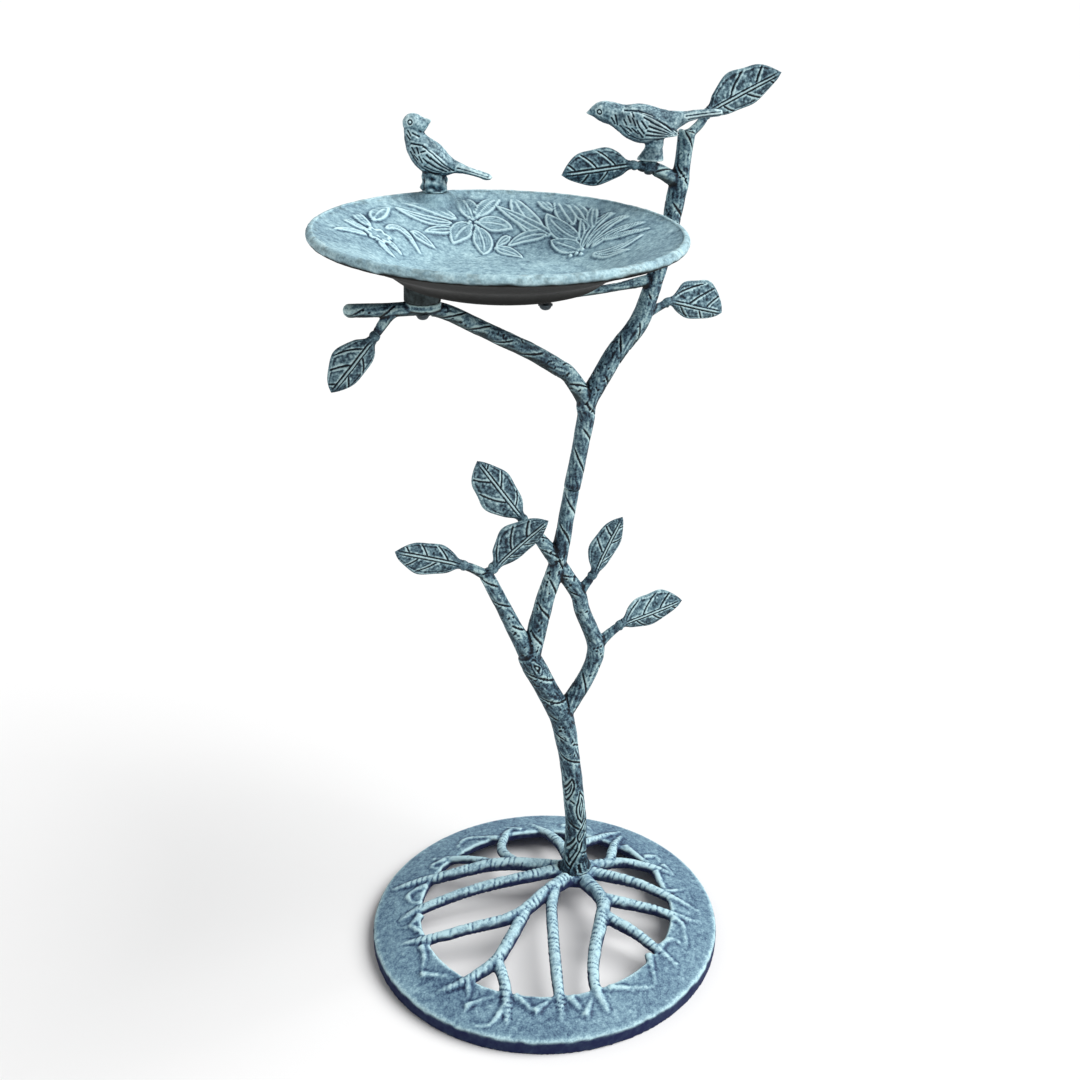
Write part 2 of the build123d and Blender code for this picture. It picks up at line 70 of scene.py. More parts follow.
surround = bpy.data.worlds.new("studio_surround")
surround.use_nodes = True
glow = surround.node_tree.nodes["Background"]
glow.inputs["Color"].default_value = (1.0, 1.0, 1.0, 1)
glow.inputs["Strength"].default_value = 0.33
bpy.context.scene.world = surround
bpy.context.scene.view_settings.view_transform = "Standard"

key = bpy.data.lights.new("key_light", "SUN")
key.energy = 3.4
key.angle = np.radians(50.0)
key_holder = placed("key_light", key)
key_holder.rotation_euler = Vector((-0.75, 0.36, -1.0)).to_track_quat("-Z", "Y").to_euler()

camera_data = bpy.data.cameras.new("camera")
camera_data.sensor_width = 36.0
camera_data.lens = 47.47
camera_data.shift_x = -0.0862
camera_data.clip_start = 0.05
camera_data.clip_end = 200.0
camera = placed("camera", camera_data)
camera_turn = Matrix.Rotation(np.radians(-25.0), 4, "Z")
camera_tilt = Matrix.Rotation(np.radians(65.0), 4, "X")
camera_roll = Matrix.Rotation(np.radians(2.646), 4, "Z")
camera.matrix_world = Matrix.Translation((-0.40206, -1.02188, 0.93189)) @ camera_turn @ camera_tilt @ camera_roll
bpy.context.scene.camera = camera


# Root base: one aluminium sand casting, a domed ring on a skirt, pierced by round roots that run in to a hub.
# The roots are ringed with file cuts and end in thin rootlets on the ring, which has a pebbled sand-cast skin.

base_radius = 165.0
base_edge = 14.0
ring_inner = 120.0
dome_rise = 12.0
ring_wall = 8.0
skirt_width = 9.0
root_sink = 2.0
root_cover = 1.2
root_end_proud = 0.6
root_ring_gap = 5.4
rootlet_sink = 1.7
hub_x = 44.5
hub_radius = 21.0
hub_depth = 12.0
tree_y = 36.5
foot_seam = 17.6
near_foot, off_foot = 14.0, 48.0
seat_gap = 0.6

limb_spacing = 0.003
limb_sides = 28

dome_centre = base_edge - (base_radius**2 - ring_inner**2 - dome_rise**2) / (2 * dome_rise)
dome_radius = np.hypot(base_radius, base_edge - dome_centre)


def dome_height(x, y):
    """Height of the base's top over a point in plan."""
    return dome_centre + np.sqrt(dome_radius**2 - x**2 - y**2)


hub_seat = dome_height(hub_x, tree_y)

# Roots from the hub outwards: (x, y, radius).
ROOTS = [
    [(34, 46, 7.0), (-24, 70, 6.5), (-83, 79, 5.5), (-110, 84, 4.8), (-127, 86, 4.0)],
    [(-8, 64, 5.6), (-13, 93, 5.2), (0, 120, 4.6), (14, 133, 4.2)],
    [(-24, 70, 5.0), (-52, 97, 4.4), (-78, 112, 4.2)],
    [(36, 42, 7.0), (-2, 37, 6.2), (-56, 41, 5.6), (-109, 41, 5.0), (-134, 36, 4.0)],
    [(38, 30, 8.0), (3, 7, 7.2), (-35, -13, 6.4), (-78, -10, 5.6), (-119, -3, 5.0), (-139, 4, 4.0)],
    [(-22, -7, 6.2), (-54, -43, 6.2), (-74, -60, 6.0), (-107, -68, 4.8), (-128, -66, 4.2)],
    [(-70, -57, 5.4), (-73, -90, 5.4), (-83, -124, 4.4)],
    [(14, 12, 6.0), (0, -14, 5.8), (-15, -59, 5.6), (-25, -92, 5.6), (-38, -140, 4.4)],
    [(46, 28, 8.0), (50, -20, 7.0), (38, -46, 6.8), (17, -81, 6.2), (3, -114, 5.4), (4, -144, 4.4)],
    [(50, -18, 6.4), (87, -39, 5.4), (108, -53, 4.8), (130, -66, 4.2)],
    [(42, -40, 6.4), (66, -74, 5.4), (86, -113, 4.2)],
    [(52, 34, 7.0), (92, -1, 5.4), (117, -27, 4.8), (138, -52, 4.2)],
    [(52, 40, 7.0), (94, 33, 5.4), (124, 17, 4.8), (138, 4, 4.2)],
    [(82, 36, 5.6), (97, 62, 5.0), (114, 82, 4.2)],
    [(50, 46, 6.6), (62, 71, 5.2), (92, 84, 4.6), (118, 92, 4.2)],
    [(45, 46, 7.0), (46, 76, 5.8), (43, 104, 5.0), (33, 134, 4.4)],
]

# Rootlets that lie on the ring: (x, y).
ROOTLETS = [
    [(-97, 72), (-117, 68), (-116, 52), (-108, 52)],
    [(-115, 33), (-128, 23), (-138, 25)],
    [(-128, 23), (-122, 5), (-132, 8)],
    [(-69, 105), (-84, 101), (-78, 89)],
    [(-7, 118), (-35, 133), (-48, 124), (-49, 107)],
    [(122, 12), (118, -16), (120, -29)],
    [(110, 62), (117, 36), (125, 22)],
    [(121, 38), (134, 38), (133, 26)],
    [(118, -22), (141, -18)],
    [(108, -57), (113, -69), (103, -97)],
    [(76, -93), (94, -84), (104, -97)],
    [(134, 22), (140, 1)],
    [(-68, -101), (-62, -113), (-55, -132)],
    [(-57, -123), (-37, -116)],
    [(-23, -121), (-17, -142)],
    [(-17, -142), (-2, -124)],
    [(14, -122), (30, -127), (57, -132)],
    [(65, -96), (60, -116), (57, -132)],
    [(-127, -9), (-128, -24), (-136, -40)],
    [(-136, -40), (-109, -61)],
    [(-101, -69), (-106, -88)],
    [(-111, -93), (-85, -93)],
    [(-79, -107), (-97, -119), (-112, -112)],
    [(20, 125), (4, 142)],
    [(62, 118), (84, 113), (90, 92)],
]


def on_dome(route):
    """Root points laid on the dome: sunk a little, more under the foot, and nearly all the way at the end."""
    laid = []
    for x, y, radius in route:
        from_hub = np.hypot(x - hub_x, y - tree_y)
        under_foot = (off_foot - from_hub) / (off_foot - near_foot)
        deep = max(root_sink, (radius - root_cover) * under_foot)
        deep = radius - root_end_proud if (x, y, radius) == route[-1] else deep
        laid.append((x, y, dome_height(x, y) - deep, radius))
    return laid


def rootlet(route):
    """A rootlet laid on the dome, fat where it leaves its root and thin at its end."""
    radii = np.linspace(4.0, 1.9, len(route))
    return [(x, y, dome_height(x, y) - rootlet_sink, radius) for (x, y), radius in zip(route, radii)]


def make_limb_tree():
    """Geometry nodes that turn lines of points with a radius into round limbs with closed ends."""
    tree = bpy.data.node_groups.new("round_limbs", "GeometryNodeTree")
    tree.interface.new_socket("Lines", in_out="INPUT", socket_type="NodeSocketGeometry")
    tree.interface.new_socket("Limbs", in_out="OUTPUT", socket_type="NodeSocketGeometry")
    come = tree.nodes.new("NodeGroupInput")
    to_curve = tree.nodes.new("GeometryNodeMeshToCurve")
    bend = tree.nodes.new("GeometryNodeCurveSplineType")
    bend.spline_type = "CATMULL_ROM"
    resample = tree.nodes.new("GeometryNodeResampleCurve")
    resample.mode = "LENGTH"
    resample.inputs["Length"].default_value = limb_spacing
    ring = tree.nodes.new("GeometryNodeCurvePrimitiveCircle")
    ring.inputs["Resolution"].default_value = limb_sides
    ring.inputs["Radius"].default_value = 1.0
    girth = tree.nodes.new("GeometryNodeInputNamedAttribute")
    girth.data_type = "FLOAT"
    girth.inputs["Name"].default_value = "girth"
    sweep = tree.nodes.new("GeometryNodeCurveToMesh")
    sweep.inputs["Fill Caps"].default_value = True
    leave = tree.nodes.new("NodeGroupOutput")
    tree.links.new(come.outputs["Lines"], to_curve.inputs["Mesh"])
    tree.links.new(to_curve.outputs["Curve"], bend.inputs["Curve"])
    tree.links.new(bend.outputs["Curve"], resample.inputs["Curve"])
    tree.links.new(resample.outputs["Curve"], sweep.inputs["Curve"])
    tree.links.new(ring.outputs["Curve"], sweep.inputs["Profile Curve"])
    tree.links.new(girth.outputs["Attribute"], sweep.inputs["Scale"])
    tree.links.new(sweep.outputs["Mesh"], leave.inputs["Limbs"])
    return tree


limb_tree = make_limb_tree()


def plain_mesh(obj):
    """The evaluated shape of an object as a plain mesh, with the object itself cleared away."""
    bpy.context.view_layer.update()
    evaluated = obj.evaluated_get(bpy.context.evaluated_depsgraph_get())
    mesh = bpy.data.meshes.new_from_object(evaluated)
    old = obj.data
    bpy.data.objects.remove(obj)
    bpy.data.meshes.remove(old)
    return mesh


def limbs_mesh(routes):
    """Round limbs along routes of (x, y, z, radius) in millimetres."""
    points = [point for route in routes for point in route]
    edges = []
    start = 0
    for route in routes:
        edges += [(start + i, start + i + 1) for i in range(len(route) - 1)]
        start += len(route)
    lines = bpy.data.meshes.new("limb_lines")
    lines.from_pydata([(x / 1000, y / 1000, z / 1000) for x, y, z, _ in points], edges, [])
    girth = lines.attributes.new("girth", "FLOAT", "POINT")
    girth.data.foreach_set("value", [radius / 1000 for *_, radius in points])
    holder = placed("limb_lines", lines)
    sweep = holder.modifiers.new("limbs", "NODES")
    sweep.node_group = limb_tree
    return plain_mesh(holder)


def ring_solid(rings, ends):
    """A closed solid through rings (rings, points, 3) in millimetres, capped at two end points or joined round."""
    count, sides = rings.shape[:2]
    points = rings.reshape(-1, 3)
    faces = []
    for i in range(count - 1 if len(ends) else count):
        for j in range(sides):
            k = (j + 1) % sides
            here, there = i * sides, (i + 1) % count * sides
            faces.append((here + j, here + k, there + k, there + j))
    if len(ends):
        points = np.vstack([points, ends])
        last = (count - 1) * sides
        for j in range(sides):
            k = (j + 1) % sides
            faces.append((count * sides, k, j))
            faces.append((count * sides + 1, last + j, last + k))
    mesh = bpy.data.meshes.new("ring_solid")
    mesh.from_pydata((points / 1000).tolist(), [], faces)
    shape = bmesh.new()
    shape.from_mesh(mesh)
    bmesh.ops.recalc_face_normals(shape, faces=shape.faces)
    shape.to_mesh(mesh)
    shape.free()
    return mesh


def loft_mesh(rings):
    """A closed solid through rings, each end capped at its ring's middle."""
    return ring_solid(rings, [rings[0].mean(0), rings[-1].mean(0)])


def turned_mesh(profile, centre, sides):
    """A closed solid turned round an upright axis, from a profile of (radius, height) in millimetres."""
    angles = 2 * np.pi * np.arange(sides) / sides
    rings = []
    ends = []
    for radius, height in profile:
        if radius == 0:
            ends.append((*centre, height))
            continue
        x = centre[0] + radius * np.cos(angles)
        y = centre[1] + radius * np.sin(angles)
        rings.append(np.stack([x, y, np.full(sides, height)], 1))
    return ring_solid(np.array(rings), ends)


def fused(name, meshes, cell, rounds):
    """One skin round overlapping solids, with small fillets where they meet, as a casting has."""
    shape = bmesh.new()
    for mesh in meshes:
        shape.from_mesh(mesh)
        bpy.data.meshes.remove(mesh)
    joined = bpy.data.meshes.new(name)
    shape.to_mesh(joined)
    shape.free()
    holder = placed(name, joined)
    skin = holder.modifiers.new("one_skin", "REMESH")
    skin.mode = "VOXEL"
    skin.voxel_size = cell / 1000
    fillet = holder.modifiers.new("fillet", "SMOOTH")
    fillet.factor = 0.5
    fillet.iterations = rounds
    return plain_mesh(holder)


def skin_points(mesh):
    """Vertex places in millimetres."""
    places = np.empty(len(mesh.vertices) * 3)
    mesh.vertices.foreach_get("co", places)
    return places.reshape(-1, 3) * 1000


def skin_normals(mesh):
    """Vertex normals."""
    normals = np.empty(len(mesh.vertices) * 3, np.float32)
    mesh.vertex_normals.foreach_get("vector", normals)
    return normals.reshape(-1, 3).astype(float)


def move_skin(mesh, points):
    """Put the vertices at new places in millimetres."""
    mesh.vertices.foreach_set("co", (points / 1000).ravel())
    mesh.update()


def from_axis(points, x, y):
    """How far each point is from an upright axis."""
    return np.hypot(points[:, 0] - x, points[:, 1] - y)


def press_flat(points, centre, reach, low, high, level):
    """Bring the skin between two heights, within reach of an upright axis, to one level, as a faced seat has."""
    pressed = (from_axis(points, *centre) < reach) & (points[:, 2] > low) & (points[:, 2] < high)
    points[pressed, 2] = level


# Noise runs askew to the piece, so that no lump lines up with its faces.
noise_turn = np.array(Matrix.Rotation(0.9, 3, Vector((1.0, 0.6, 0.35))))


def grain(points, size, seed):
    """Smooth noise from -1 to 1 at points in millimetres, with lumps of the given size."""
    scaled = points @ noise_turn / size
    cell = np.floor(scaled).astype(np.int64)
    part = scaled - cell
    part = part * part * (3 - 2 * part)
    total = np.zeros(len(points))
    for corner in range(8):
        step = np.array([corner & 1, corner >> 1 & 1, corner >> 2 & 1])
        weight = np.where(step, part, 1 - part).prod(1)
        x, y, z = (cell + step).T
        mixed = x * 374761393 + y * 668265263 + z * 1274126177 + seed * 144665
        mixed = (mixed ^ (mixed >> 13)) * 1103515245
        mixed = mixed ^ (mixed >> 16)
        total += weight * ((mixed & 0xFFFF) / 65535)
    return total * 2 - 1


def ease(value, low, high):
    """0 below low, 1 above high, and smooth between."""
    part = np.clip((value - low) / (high - low), 0, 1)
    return part * part * (3 - 2 * part)


def smoothed(values, rounds):
    """A run of values with its corners rounded off and its ends kept."""
    for _ in range(rounds):
        values[1:-1] = (values[:-2] + 2 * values[1:-1] + values[2:]) / 4
    return values


def smooth_route(route):
    """The limb's own smooth line: points about 3 mm apart, with their radii."""
    points = np.array(route, float)
    padded = np.vstack([2 * points[0] - points[1], points, 2 * points[-1] - points[-2]])
    line = []
    for i in range(1, len(padded) - 2):
        before, here, there, after = padded[i - 1 : i + 3]
        steps = max(2, int(np.linalg.norm(there[:3] - here[:3]) / 3))
        t = np.linspace(0, 1, steps, endpoint=False)[:, None]
        bend = 2 * here + (there - before) * t + (2 * before - 5 * here + 4 * there - after) * t**2
        line.append(0.5 * (bend + (3 * here - before - 3 * there + after) * t**3))
    return np.vstack(line + [points[-1:]])


def along_limbs(points, routes, facing):
    """For each point its nearest limb's number, the place along it and the turn about it from facing, then the
    limb's radius there and how far the point stands over the limb's plain skin.
    """
    nearest = np.full(len(points), 1e9)
    number = np.zeros(len(points), int)
    along = np.zeros(len(points))
    turn = np.zeros(len(points))
    girth = np.ones(len(points))
    for index, route in enumerate(routes):
        line = smooth_route(route)
        starts = line[:-1, :3]
        runs = line[1:, :3] - starts
        lengths = np.linalg.norm(runs, axis=1)
        reached = np.concatenate([[0], np.cumsum(lengths)])
        margin = line[:, 3].max() + 6
        inside = (points > line[:, :3].min(0) - margin) & (points < line[:, :3].max(0) + margin)
        chosen = np.nonzero(inside.all(1))[0]
        for part in np.array_split(chosen, max(1, len(chosen) // 8000)):
            if not len(part):
                continue
            offset = points[part, None, :] - starts[None]
            share = np.clip((offset * runs).sum(2) / lengths**2, 0, 1)
            offset = offset - share[..., None] * runs
            radius = line[:-1, 3] + share * (line[1:, 3] - line[:-1, 3])
            height = np.linalg.norm(offset, axis=2) - radius
            best = height.argmin(1)
            rows = np.arange(len(part))
            closer = height[rows, best] < nearest[part]
            rows, best, hit = rows[closer], best[closer], part[closer]
            direction = runs[best] / lengths[best, None]
            front = np.array(facing) - direction * (direction @ np.array(facing))[:, None]
            front /= np.linalg.norm(front, axis=1)[:, None]
            side = np.cross(direction, front)
            away = offset[rows, best]
            nearest[hit] = height[rows, best]
            number[hit] = index
            along[hit] = reached[best] + share[rows, best] * lengths[best]
            turn[hit] = np.arctan2((away * side).sum(1), (away * front).sum(1))
            girth[hit] = radius[rows, best]
    return number, along, turn, girth, nearest


def cut(distance, width):
    """The section of a rounded cut: 1 in its middle, fading over its half-width."""
    return np.exp(-((distance / width) ** 2))


def weather(mesh, reach, scale, lean=0.15, calm=None, shade_and_stain=None):
    """Store how proud of its surroundings each point stands, less where calm is low, and a darkening mask: painted
    shade where the skin faces the ground, raised to the extra shade and stain that the caller gives.
    """
    edges = np.empty(len(mesh.edges) * 2, np.int32)
    mesh.edges.foreach_get("vertices", edges)
    first, second = edges[0::2], edges[1::2]
    points = skin_points(mesh)
    normals = skin_normals(mesh)
    count = np.bincount(edges, minlength=len(points))
    relaxed = points.copy()
    for _ in range(reach):
        drawn = np.empty_like(relaxed)
        for axis in range(3):
            column = relaxed[:, axis]
            drawn[:, axis] = np.bincount(first, column[second], len(points))
            drawn[:, axis] += np.bincount(second, column[first], len(points))
        relaxed = 0.5 * relaxed + 0.5 * drawn / count[:, None]
    proud = ((points - relaxed) * normals).sum(1) / scale * (1 if calm is None else calm)
    relief = mesh.attributes.new("relief", "FLOAT", "POINT")
    relief.data.foreach_set("value", np.clip(proud, -3, 3).astype(np.float32))
    # Painted shade: skin turned towards the ground takes the dark under colour, as if in shadow; lean sets how far
    # it must turn first.
    facing = ease(-normals[:, 2] + 0.25 * grain(points, 7.0, 77), lean, lean + 0.6)
    facing = np.maximum(facing, 0 if shade_and_stain is None else shade_and_stain)
    under = mesh.attributes.new("under", "FLOAT", "POINT")
    under.data.foreach_set("value", facing.astype(np.float32))


class Channel:
    """One value in a finish.  Arithmetic on it adds the nodes that work it out."""

    def __init__(self, finish, socket):
        self.finish = finish
        self.socket = socket

    def worked(self, operation, left, right):
        return self.finish.node("ShaderNodeMath", {"operation": operation}, {0: left, 1: right})

    def __add__(self, other):
        return self.worked("ADD", self, other)

    def __radd__(self, other):
        return self.worked("ADD", other, self)

    def __sub__(self, other):
        return self.worked("SUBTRACT", self, other)

    def __mul__(self, other):
        return self.worked("MULTIPLY", self, other)

    def __rmul__(self, other):
        return self.worked("MULTIPLY", other, self)


class Finish:
    """A material and the one way of adding nodes to it."""

    def __init__(self, name):
        self.material = bpy.data.materials.new(name)
        self.material.use_nodes = True
        self.tree = self.material.node_tree
        self.tree.nodes.clear()

    def node(self, kind, settings=None, values=None, output=0):
        made = self.tree.nodes.new(kind)
        for name, setting in (settings or {}).items():
            if name == "stops":
                while len(made.color_ramp.elements) < len(setting):
                    made.color_ramp.elements.new(0.5)
                for stop, (place, colour) in zip(made.color_ramp.elements, setting):
                    stop.position = place
                    stop.color = colour
            else:
                setattr(made, name, setting)
        for socket, value in (values or {}).items():
            if isinstance(value, Channel):
                self.tree.links.new(value.socket, made.inputs[socket])
            else:
                made.inputs[socket].default_value = value
        return Channel(self, made.outputs[output]) if len(made.outputs) else None

    def noise(self, scale, detail, roughness=0.5):
        place = self.node("ShaderNodeTexCoord", output="Object")
        values = {"Vector": place, "Scale": scale, "Detail": detail, "Roughness": roughness}
        return self.node("ShaderNodeTexNoise", values=values)

    def ramp(self, places, shades, tone):
        stops = [(place, paint(*shade)) for place, shade in zip(places, shades)]
        return self.node("ShaderNodeValToRGB", {"stops": stops}, {"Fac": tone})

    def surface(self, values):
        shader = self.node("ShaderNodeBsdfPrincipled", values=values)
        self.node("ShaderNodeOutputMaterial", values={"Surface": shader})
        return self.material


def paint(red, green, blue):
    """A colour as a paint chart gives it, turned into light."""
    chart = np.array([red, green, blue]) / 255
    light = np.where(chart <= 0.04045, chart / 12.92, ((chart + 0.055) / 1.055) ** 2.4)
    return (*[float(value) for value in light], 1.0)


def patina(name, shades, depth, fine, mottle, cloud, lift, under, shade_and_stain_depth):
    """Cast-metal patina: dark stain left in the low places, pale verdigris rubbed on to the high ones, and painted
    shade in the under colour on faces turned down.
    """
    finish = Finish(name)
    relief = finish.node("ShaderNodeAttribute", {"attribute_name": "relief"}, output="Fac")
    shade_side = finish.node("ShaderNodeAttribute", {"attribute_name": "under"}, output="Fac")
    speckle = finish.noise(620.0, 2.0, 0.6)
    patches = finish.noise(150.0, 3.0, 0.62)
    drift = finish.noise(26.0, 2.0)
    tone = 0.5 + lift + relief * depth + (speckle - 0.5) * (0.55 * fine)
    tone = tone + (patches - 0.5) * (0.75 * mottle) + (drift - 0.5) * (0.5 * cloud)
    colour = finish.ramp((0.08, 0.3, 0.5, 0.7, 0.95), shades, tone)
    # Painted shade: the under colour is mixed in by the darkening mask, so down-turned faces look shadowed; the
    # same mix carries real stain where the mask holds it.
    darkened = shade_side * (shade_and_stain_depth + 0.3 * (patches - 0.5))
    mixed = {0: darkened, 6: colour, 7: paint(*under)}
    colour = finish.node("ShaderNodeMix", {"data_type": "RGBA"}, mixed, output=2)
    rough = 0.5 + tone * 0.2 + shade_side * 0.25
    rise = speckle * 0.55 + patches * 0.45
    skin = finish.node("ShaderNodeBump", values={"Strength": 0.4, "Distance": 0.0007, "Height": rise})
    return finish.surface({"Base Color": colour, "Roughness": rough, "Normal": skin, "Specular IOR Level": 0.22})


def finished(name, mesh, cover, body, node):
    """Link a finished piece, give it its cover, and say which node it stands for and what it rides on."""
    mesh.materials.clear()
    mesh.materials.append(cover)
    mesh.name = name
    mesh.polygons.foreach_set("use_smooth", np.ones(len(mesh.polygons), bool))
    mesh.polygons.foreach_set("material_index", np.zeros(len(mesh.polygons), np.int32))
    piece = placed(name, mesh)
    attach(piece, body)
    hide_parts(node)


base_patina = patina(
    "base_patina",
    [(26, 40, 68), (60, 84, 112), (100, 131, 153), (138, 172, 188), (188, 222, 230)],
    depth=0.5,
    fine=1.2,
    mottle=0.7,
    cloud=0.8,
    lift=0.03,
    # The colour and depth of the navy painted shade on the skirt and on the sides of the roots.
    under=(27, 36, 74),
    shade_and_stain_depth=0.98,
)

root_routes = [on_dome(route) for route in ROOTS]
rootlet_routes = [rootlet(route) for route in ROOTLETS]
under_radius = dome_radius - ring_wall
skirt_inner = base_radius - skirt_width
top_reach = np.linspace(base_radius - 2.2, ring_inner + 1.5, 14)
under_reach = np.linspace(ring_inner, skirt_inner, 12)
ring_section = [(skirt_inner, 0.0), (base_radius, 0.0)]
ring_section += [(base_radius, base_edge - 2.0), (base_radius - 0.7, base_edge - 0.5)]
ring_section += [(reach, dome_height(reach, 0)) for reach in top_reach]
ring_section += [(ring_inner, dome_height(ring_inner, 0) - 1.5)]
ring_section += [(reach, dome_centre + np.sqrt(under_radius**2 - reach**2)) for reach in under_reach]
hub_section = [(0, hub_seat - hub_depth), (hub_radius, hub_seat - hub_depth), (hub_radius, hub_seat - 6)]
hub_section += [(hub_radius - 1.2, hub_seat - 3.4), (foot_seam, hub_seat - 2 * seat_gap), (0, hub_seat - seat_gap)]
base_solids = [
    turned_mesh(ring_section, (0, 0), 160),
    turned_mesh(hub_section, (hub_x, tree_y), 48),
    limbs_mesh(root_routes + rootlet_routes),
]
base_skin = fused("root_base_casting", base_solids, 1.5, 4)

base_points = skin_points(base_skin)
base_normals = skin_normals(base_skin)
number, along, turn, girth, clear = along_limbs(base_points, root_routes + rootlet_routes, (0, 0, 1))
on_root = ease(-clear, -2.2, -0.4)
jitter = 3.2 * grain(base_points, 13.0, 3) + number * 1.7
ringing = (along + jitter + 1.5 * turn) / root_ring_gap
ring_cut = cut((ringing - np.round(ringing)) * root_ring_gap, 0.8)
ring_cut *= ease(grain(base_points, 6.5, 5), -0.3, 0.35) * ease(girth, 4.0, 5.2)
pebble = 0.55 * grain(base_points, 2.6, 11) + 0.35 * grain(base_points, 4.6, 12)
on_ring = ease(from_axis(base_points, 0, 0), 118, 124) * (1 - on_root)
rise = -0.6 * ring_cut * on_root + 0.22 * pebble * on_ring
rise += (0.2 * grain(base_points, 3.0, 13) + 0.3 * grain(base_points, 8.0, 14)) * on_root
rise *= ease(base_points[:, 2], 0.5, 2.5)
base_points += base_normals * rise[:, None]
base_points[:, 2] = np.maximum(base_points[:, 2], 0.0)
press_flat(base_points, (hub_x, tree_y), foot_seam, hub_seat - seat_gap, np.inf, hub_seat - seat_gap)
move_skin(base_skin, base_points)
# Painted shade: lean -0.75 gives the navy under colour to the skirt and to every face tilted well off level.
weather(base_skin, 6, 0.34, lean=-0.75)
finished("root_base_casting", base_skin, base_patina, "stand", "root_base")


# Lower tree casting: trunk, left branch, main stem and the branch that crosses it, sand cast flat in one plane.
# The bark is carved in the pattern: slanting cuts, a ringed knot at the fork, and flowing grain at the foot.

foot_radius = 16.5
stem_joint_z = 446.0
TRUNK = [(43.2, 98, 10.3), (35.2, 165, 9.9), (29.3, 199, 10.9), (24.0, 219, 11.4), (8.8, 251, 10.3)]
TRUNK += [(-1.3, 272, 10.9), (-9.0, 288, 9.6)]
LEFT_BRANCH = [(-6.0, 283, 9.0), (-30.5, 336.5, 6.8), (-42.5, 363, 6.6), (-48.5, 374.5, 6.2)]
LOW_LEFT_TWIG = [(-48.5, 374.5, 4.9), (-60, 382.8, 4.1), (-66, 386, 3.8)]
FRONT_TWIG = [(-48.5, 374.5, 5.2), (-43.5, 378.8, 4.2)]
MAIN_STEM = [(-6.0, 284, 9.0), (6.8, 340, 8.4), (19.0, 378, 7.6), (28.5, 434.8, 6.9)]
CROSS_BRANCH = [(24.0, 214, 9.4), (44.8, 244, 8.0), (55.2, 264.5, 7.9), (58.7, 283, 8.3), (52, 303, 7.5)]
CROSS_BRANCH += [(43.5, 324.5, 7.3), (39.1, 341.5, 7.2), (26.9, 362.4, 7.1), (14.6, 382.7, 7.0), (4.4, 397.9, 6.0)]
CROSS_BRANCH += [(-7.9, 415.2, 4.4), (-13, 421.4, 3.8)]
UPRIGHT_TWIG = [(39.1, 341.5, 5.6), (46.6, 350.6, 4.2), (50.8, 356, 3.6)]
RIGHT_TWIG = [(58.7, 283, 6.0), (70.4, 293.7, 4.4), (79.5, 299.8, 3.9)]
UPPER_STEM = [(36.7, 480.7, 7.3), (41.8, 512.2, 7.8), (42.3, 524.5, 8.6), (54.5, 545.9, 8.2), (68.4, 567.6, 8.5)]
UPPER_STEM += [(86.8, 589.6, 8.4), (95.0, 610.6, 7.7), (104.5, 640.6, 7.3), (110.5, 662.9, 7.4)]
UPPER_STEM += [(115.3, 690.7, 7.8), (118.0, 706.0, 8.2), (119.9, 719.6, 6.8), (122.6, 748.0, 7.2)]

# Bark: the length between cuts along a limb, how far a cut runs on as it goes round, its half-width and its depth.
cut_gap = 26.0
cut_slant = 8.0
cut_width = 0.85
cut_depth = 1.15

# Eye-shaped swirls carved in the front of the trunk: (x, z, half-width, half-length, lean).
SWIRLS = [(38.2, 62, 6.5, 19, 0.10), (44.6, 112, 4.5, 18, -0.12)]
SWIRLS += [(32.5, 134, 3.6, 13, 0.05), (47.5, 84, 3.6, 12, 0.2)]
# The ringed knot at the fork: (x, z, radius).
KNOT = (-3.5, 277.5, 5.4)

tree_patina = patina(
    "tree_patina",
    [(5, 12, 22), (26, 42, 58), (68, 96, 112), (116, 149, 160), (180, 210, 212)],
    depth=0.85,
    fine=1.6,
    mottle=1.4,
    cloud=1.2,
    lift=-0.17,
    # The colour and depth of the painted shade under the limbs and on their down-turned sides.
    under=(34, 35, 32),
    shade_and_stain_depth=0.85,
)


def joint_calm(points, joints):
    """1 away from joints at (x, z) in the trees' plane and lower close to them, where the stain runs in."""
    calm = np.ones(len(points))
    for x, z in joints:
        calm = np.minimum(calm, 0.15 + 0.85 * ease(np.hypot(points[:, 0] - x, points[:, 2] - z), 3.5, 8.0))
    return calm


def in_tree(route):
    """Tree points (x, z, radius) as (x, y, z, radius) in the trees' plane."""
    return [(x, tree_y, z, radius) for x, z, radius in route]


def bark(points, routes, seed):
    """Height of the carved bark over the plain limbs, in millimetres."""
    number, along, turn, girth, _ = along_limbs(points, routes, (0, -1, 0))
    rise = np.zeros(len(points))
    for middle, shift in ((0.0, 0.0), (np.pi, 13.0)):
        swing = np.arctan2(np.sin(turn - middle), np.cos(turn - middle))
        spiral = (along + shift + cut_slant * swing + 5 * number + 6.0 * grain(points, 26.0, seed)) / cut_gap
        slit = cut((spiral - np.round(spiral)) * cut_gap * 0.8, cut_width)
        slit *= ease(-np.abs(swing), -1.5, -0.7) * ease(grain(points, 14.0, seed + 1), -0.3, 0.05)
        rise -= cut_depth * slit * ease(girth, 3.5, 6.0)
    wound = turn + along / 45
    lay = np.stack([np.cos(wound) * girth, np.sin(wound) * girth, along / 4 + number * 31], 1)
    rise += 0.2 * grain(lay, 1.8, seed + 2) + 0.17 * grain(lay, 3.6, seed + 3)
    pits = ease(grain(points, 2.4, seed + 4), 0.42, 0.8)
    rise -= 0.6 * pits * ease(grain(points, 18.0, seed + 5), -0.3, 0.4)
    rise += 0.3 * grain(points, 12.0, seed + 6)
    return rise


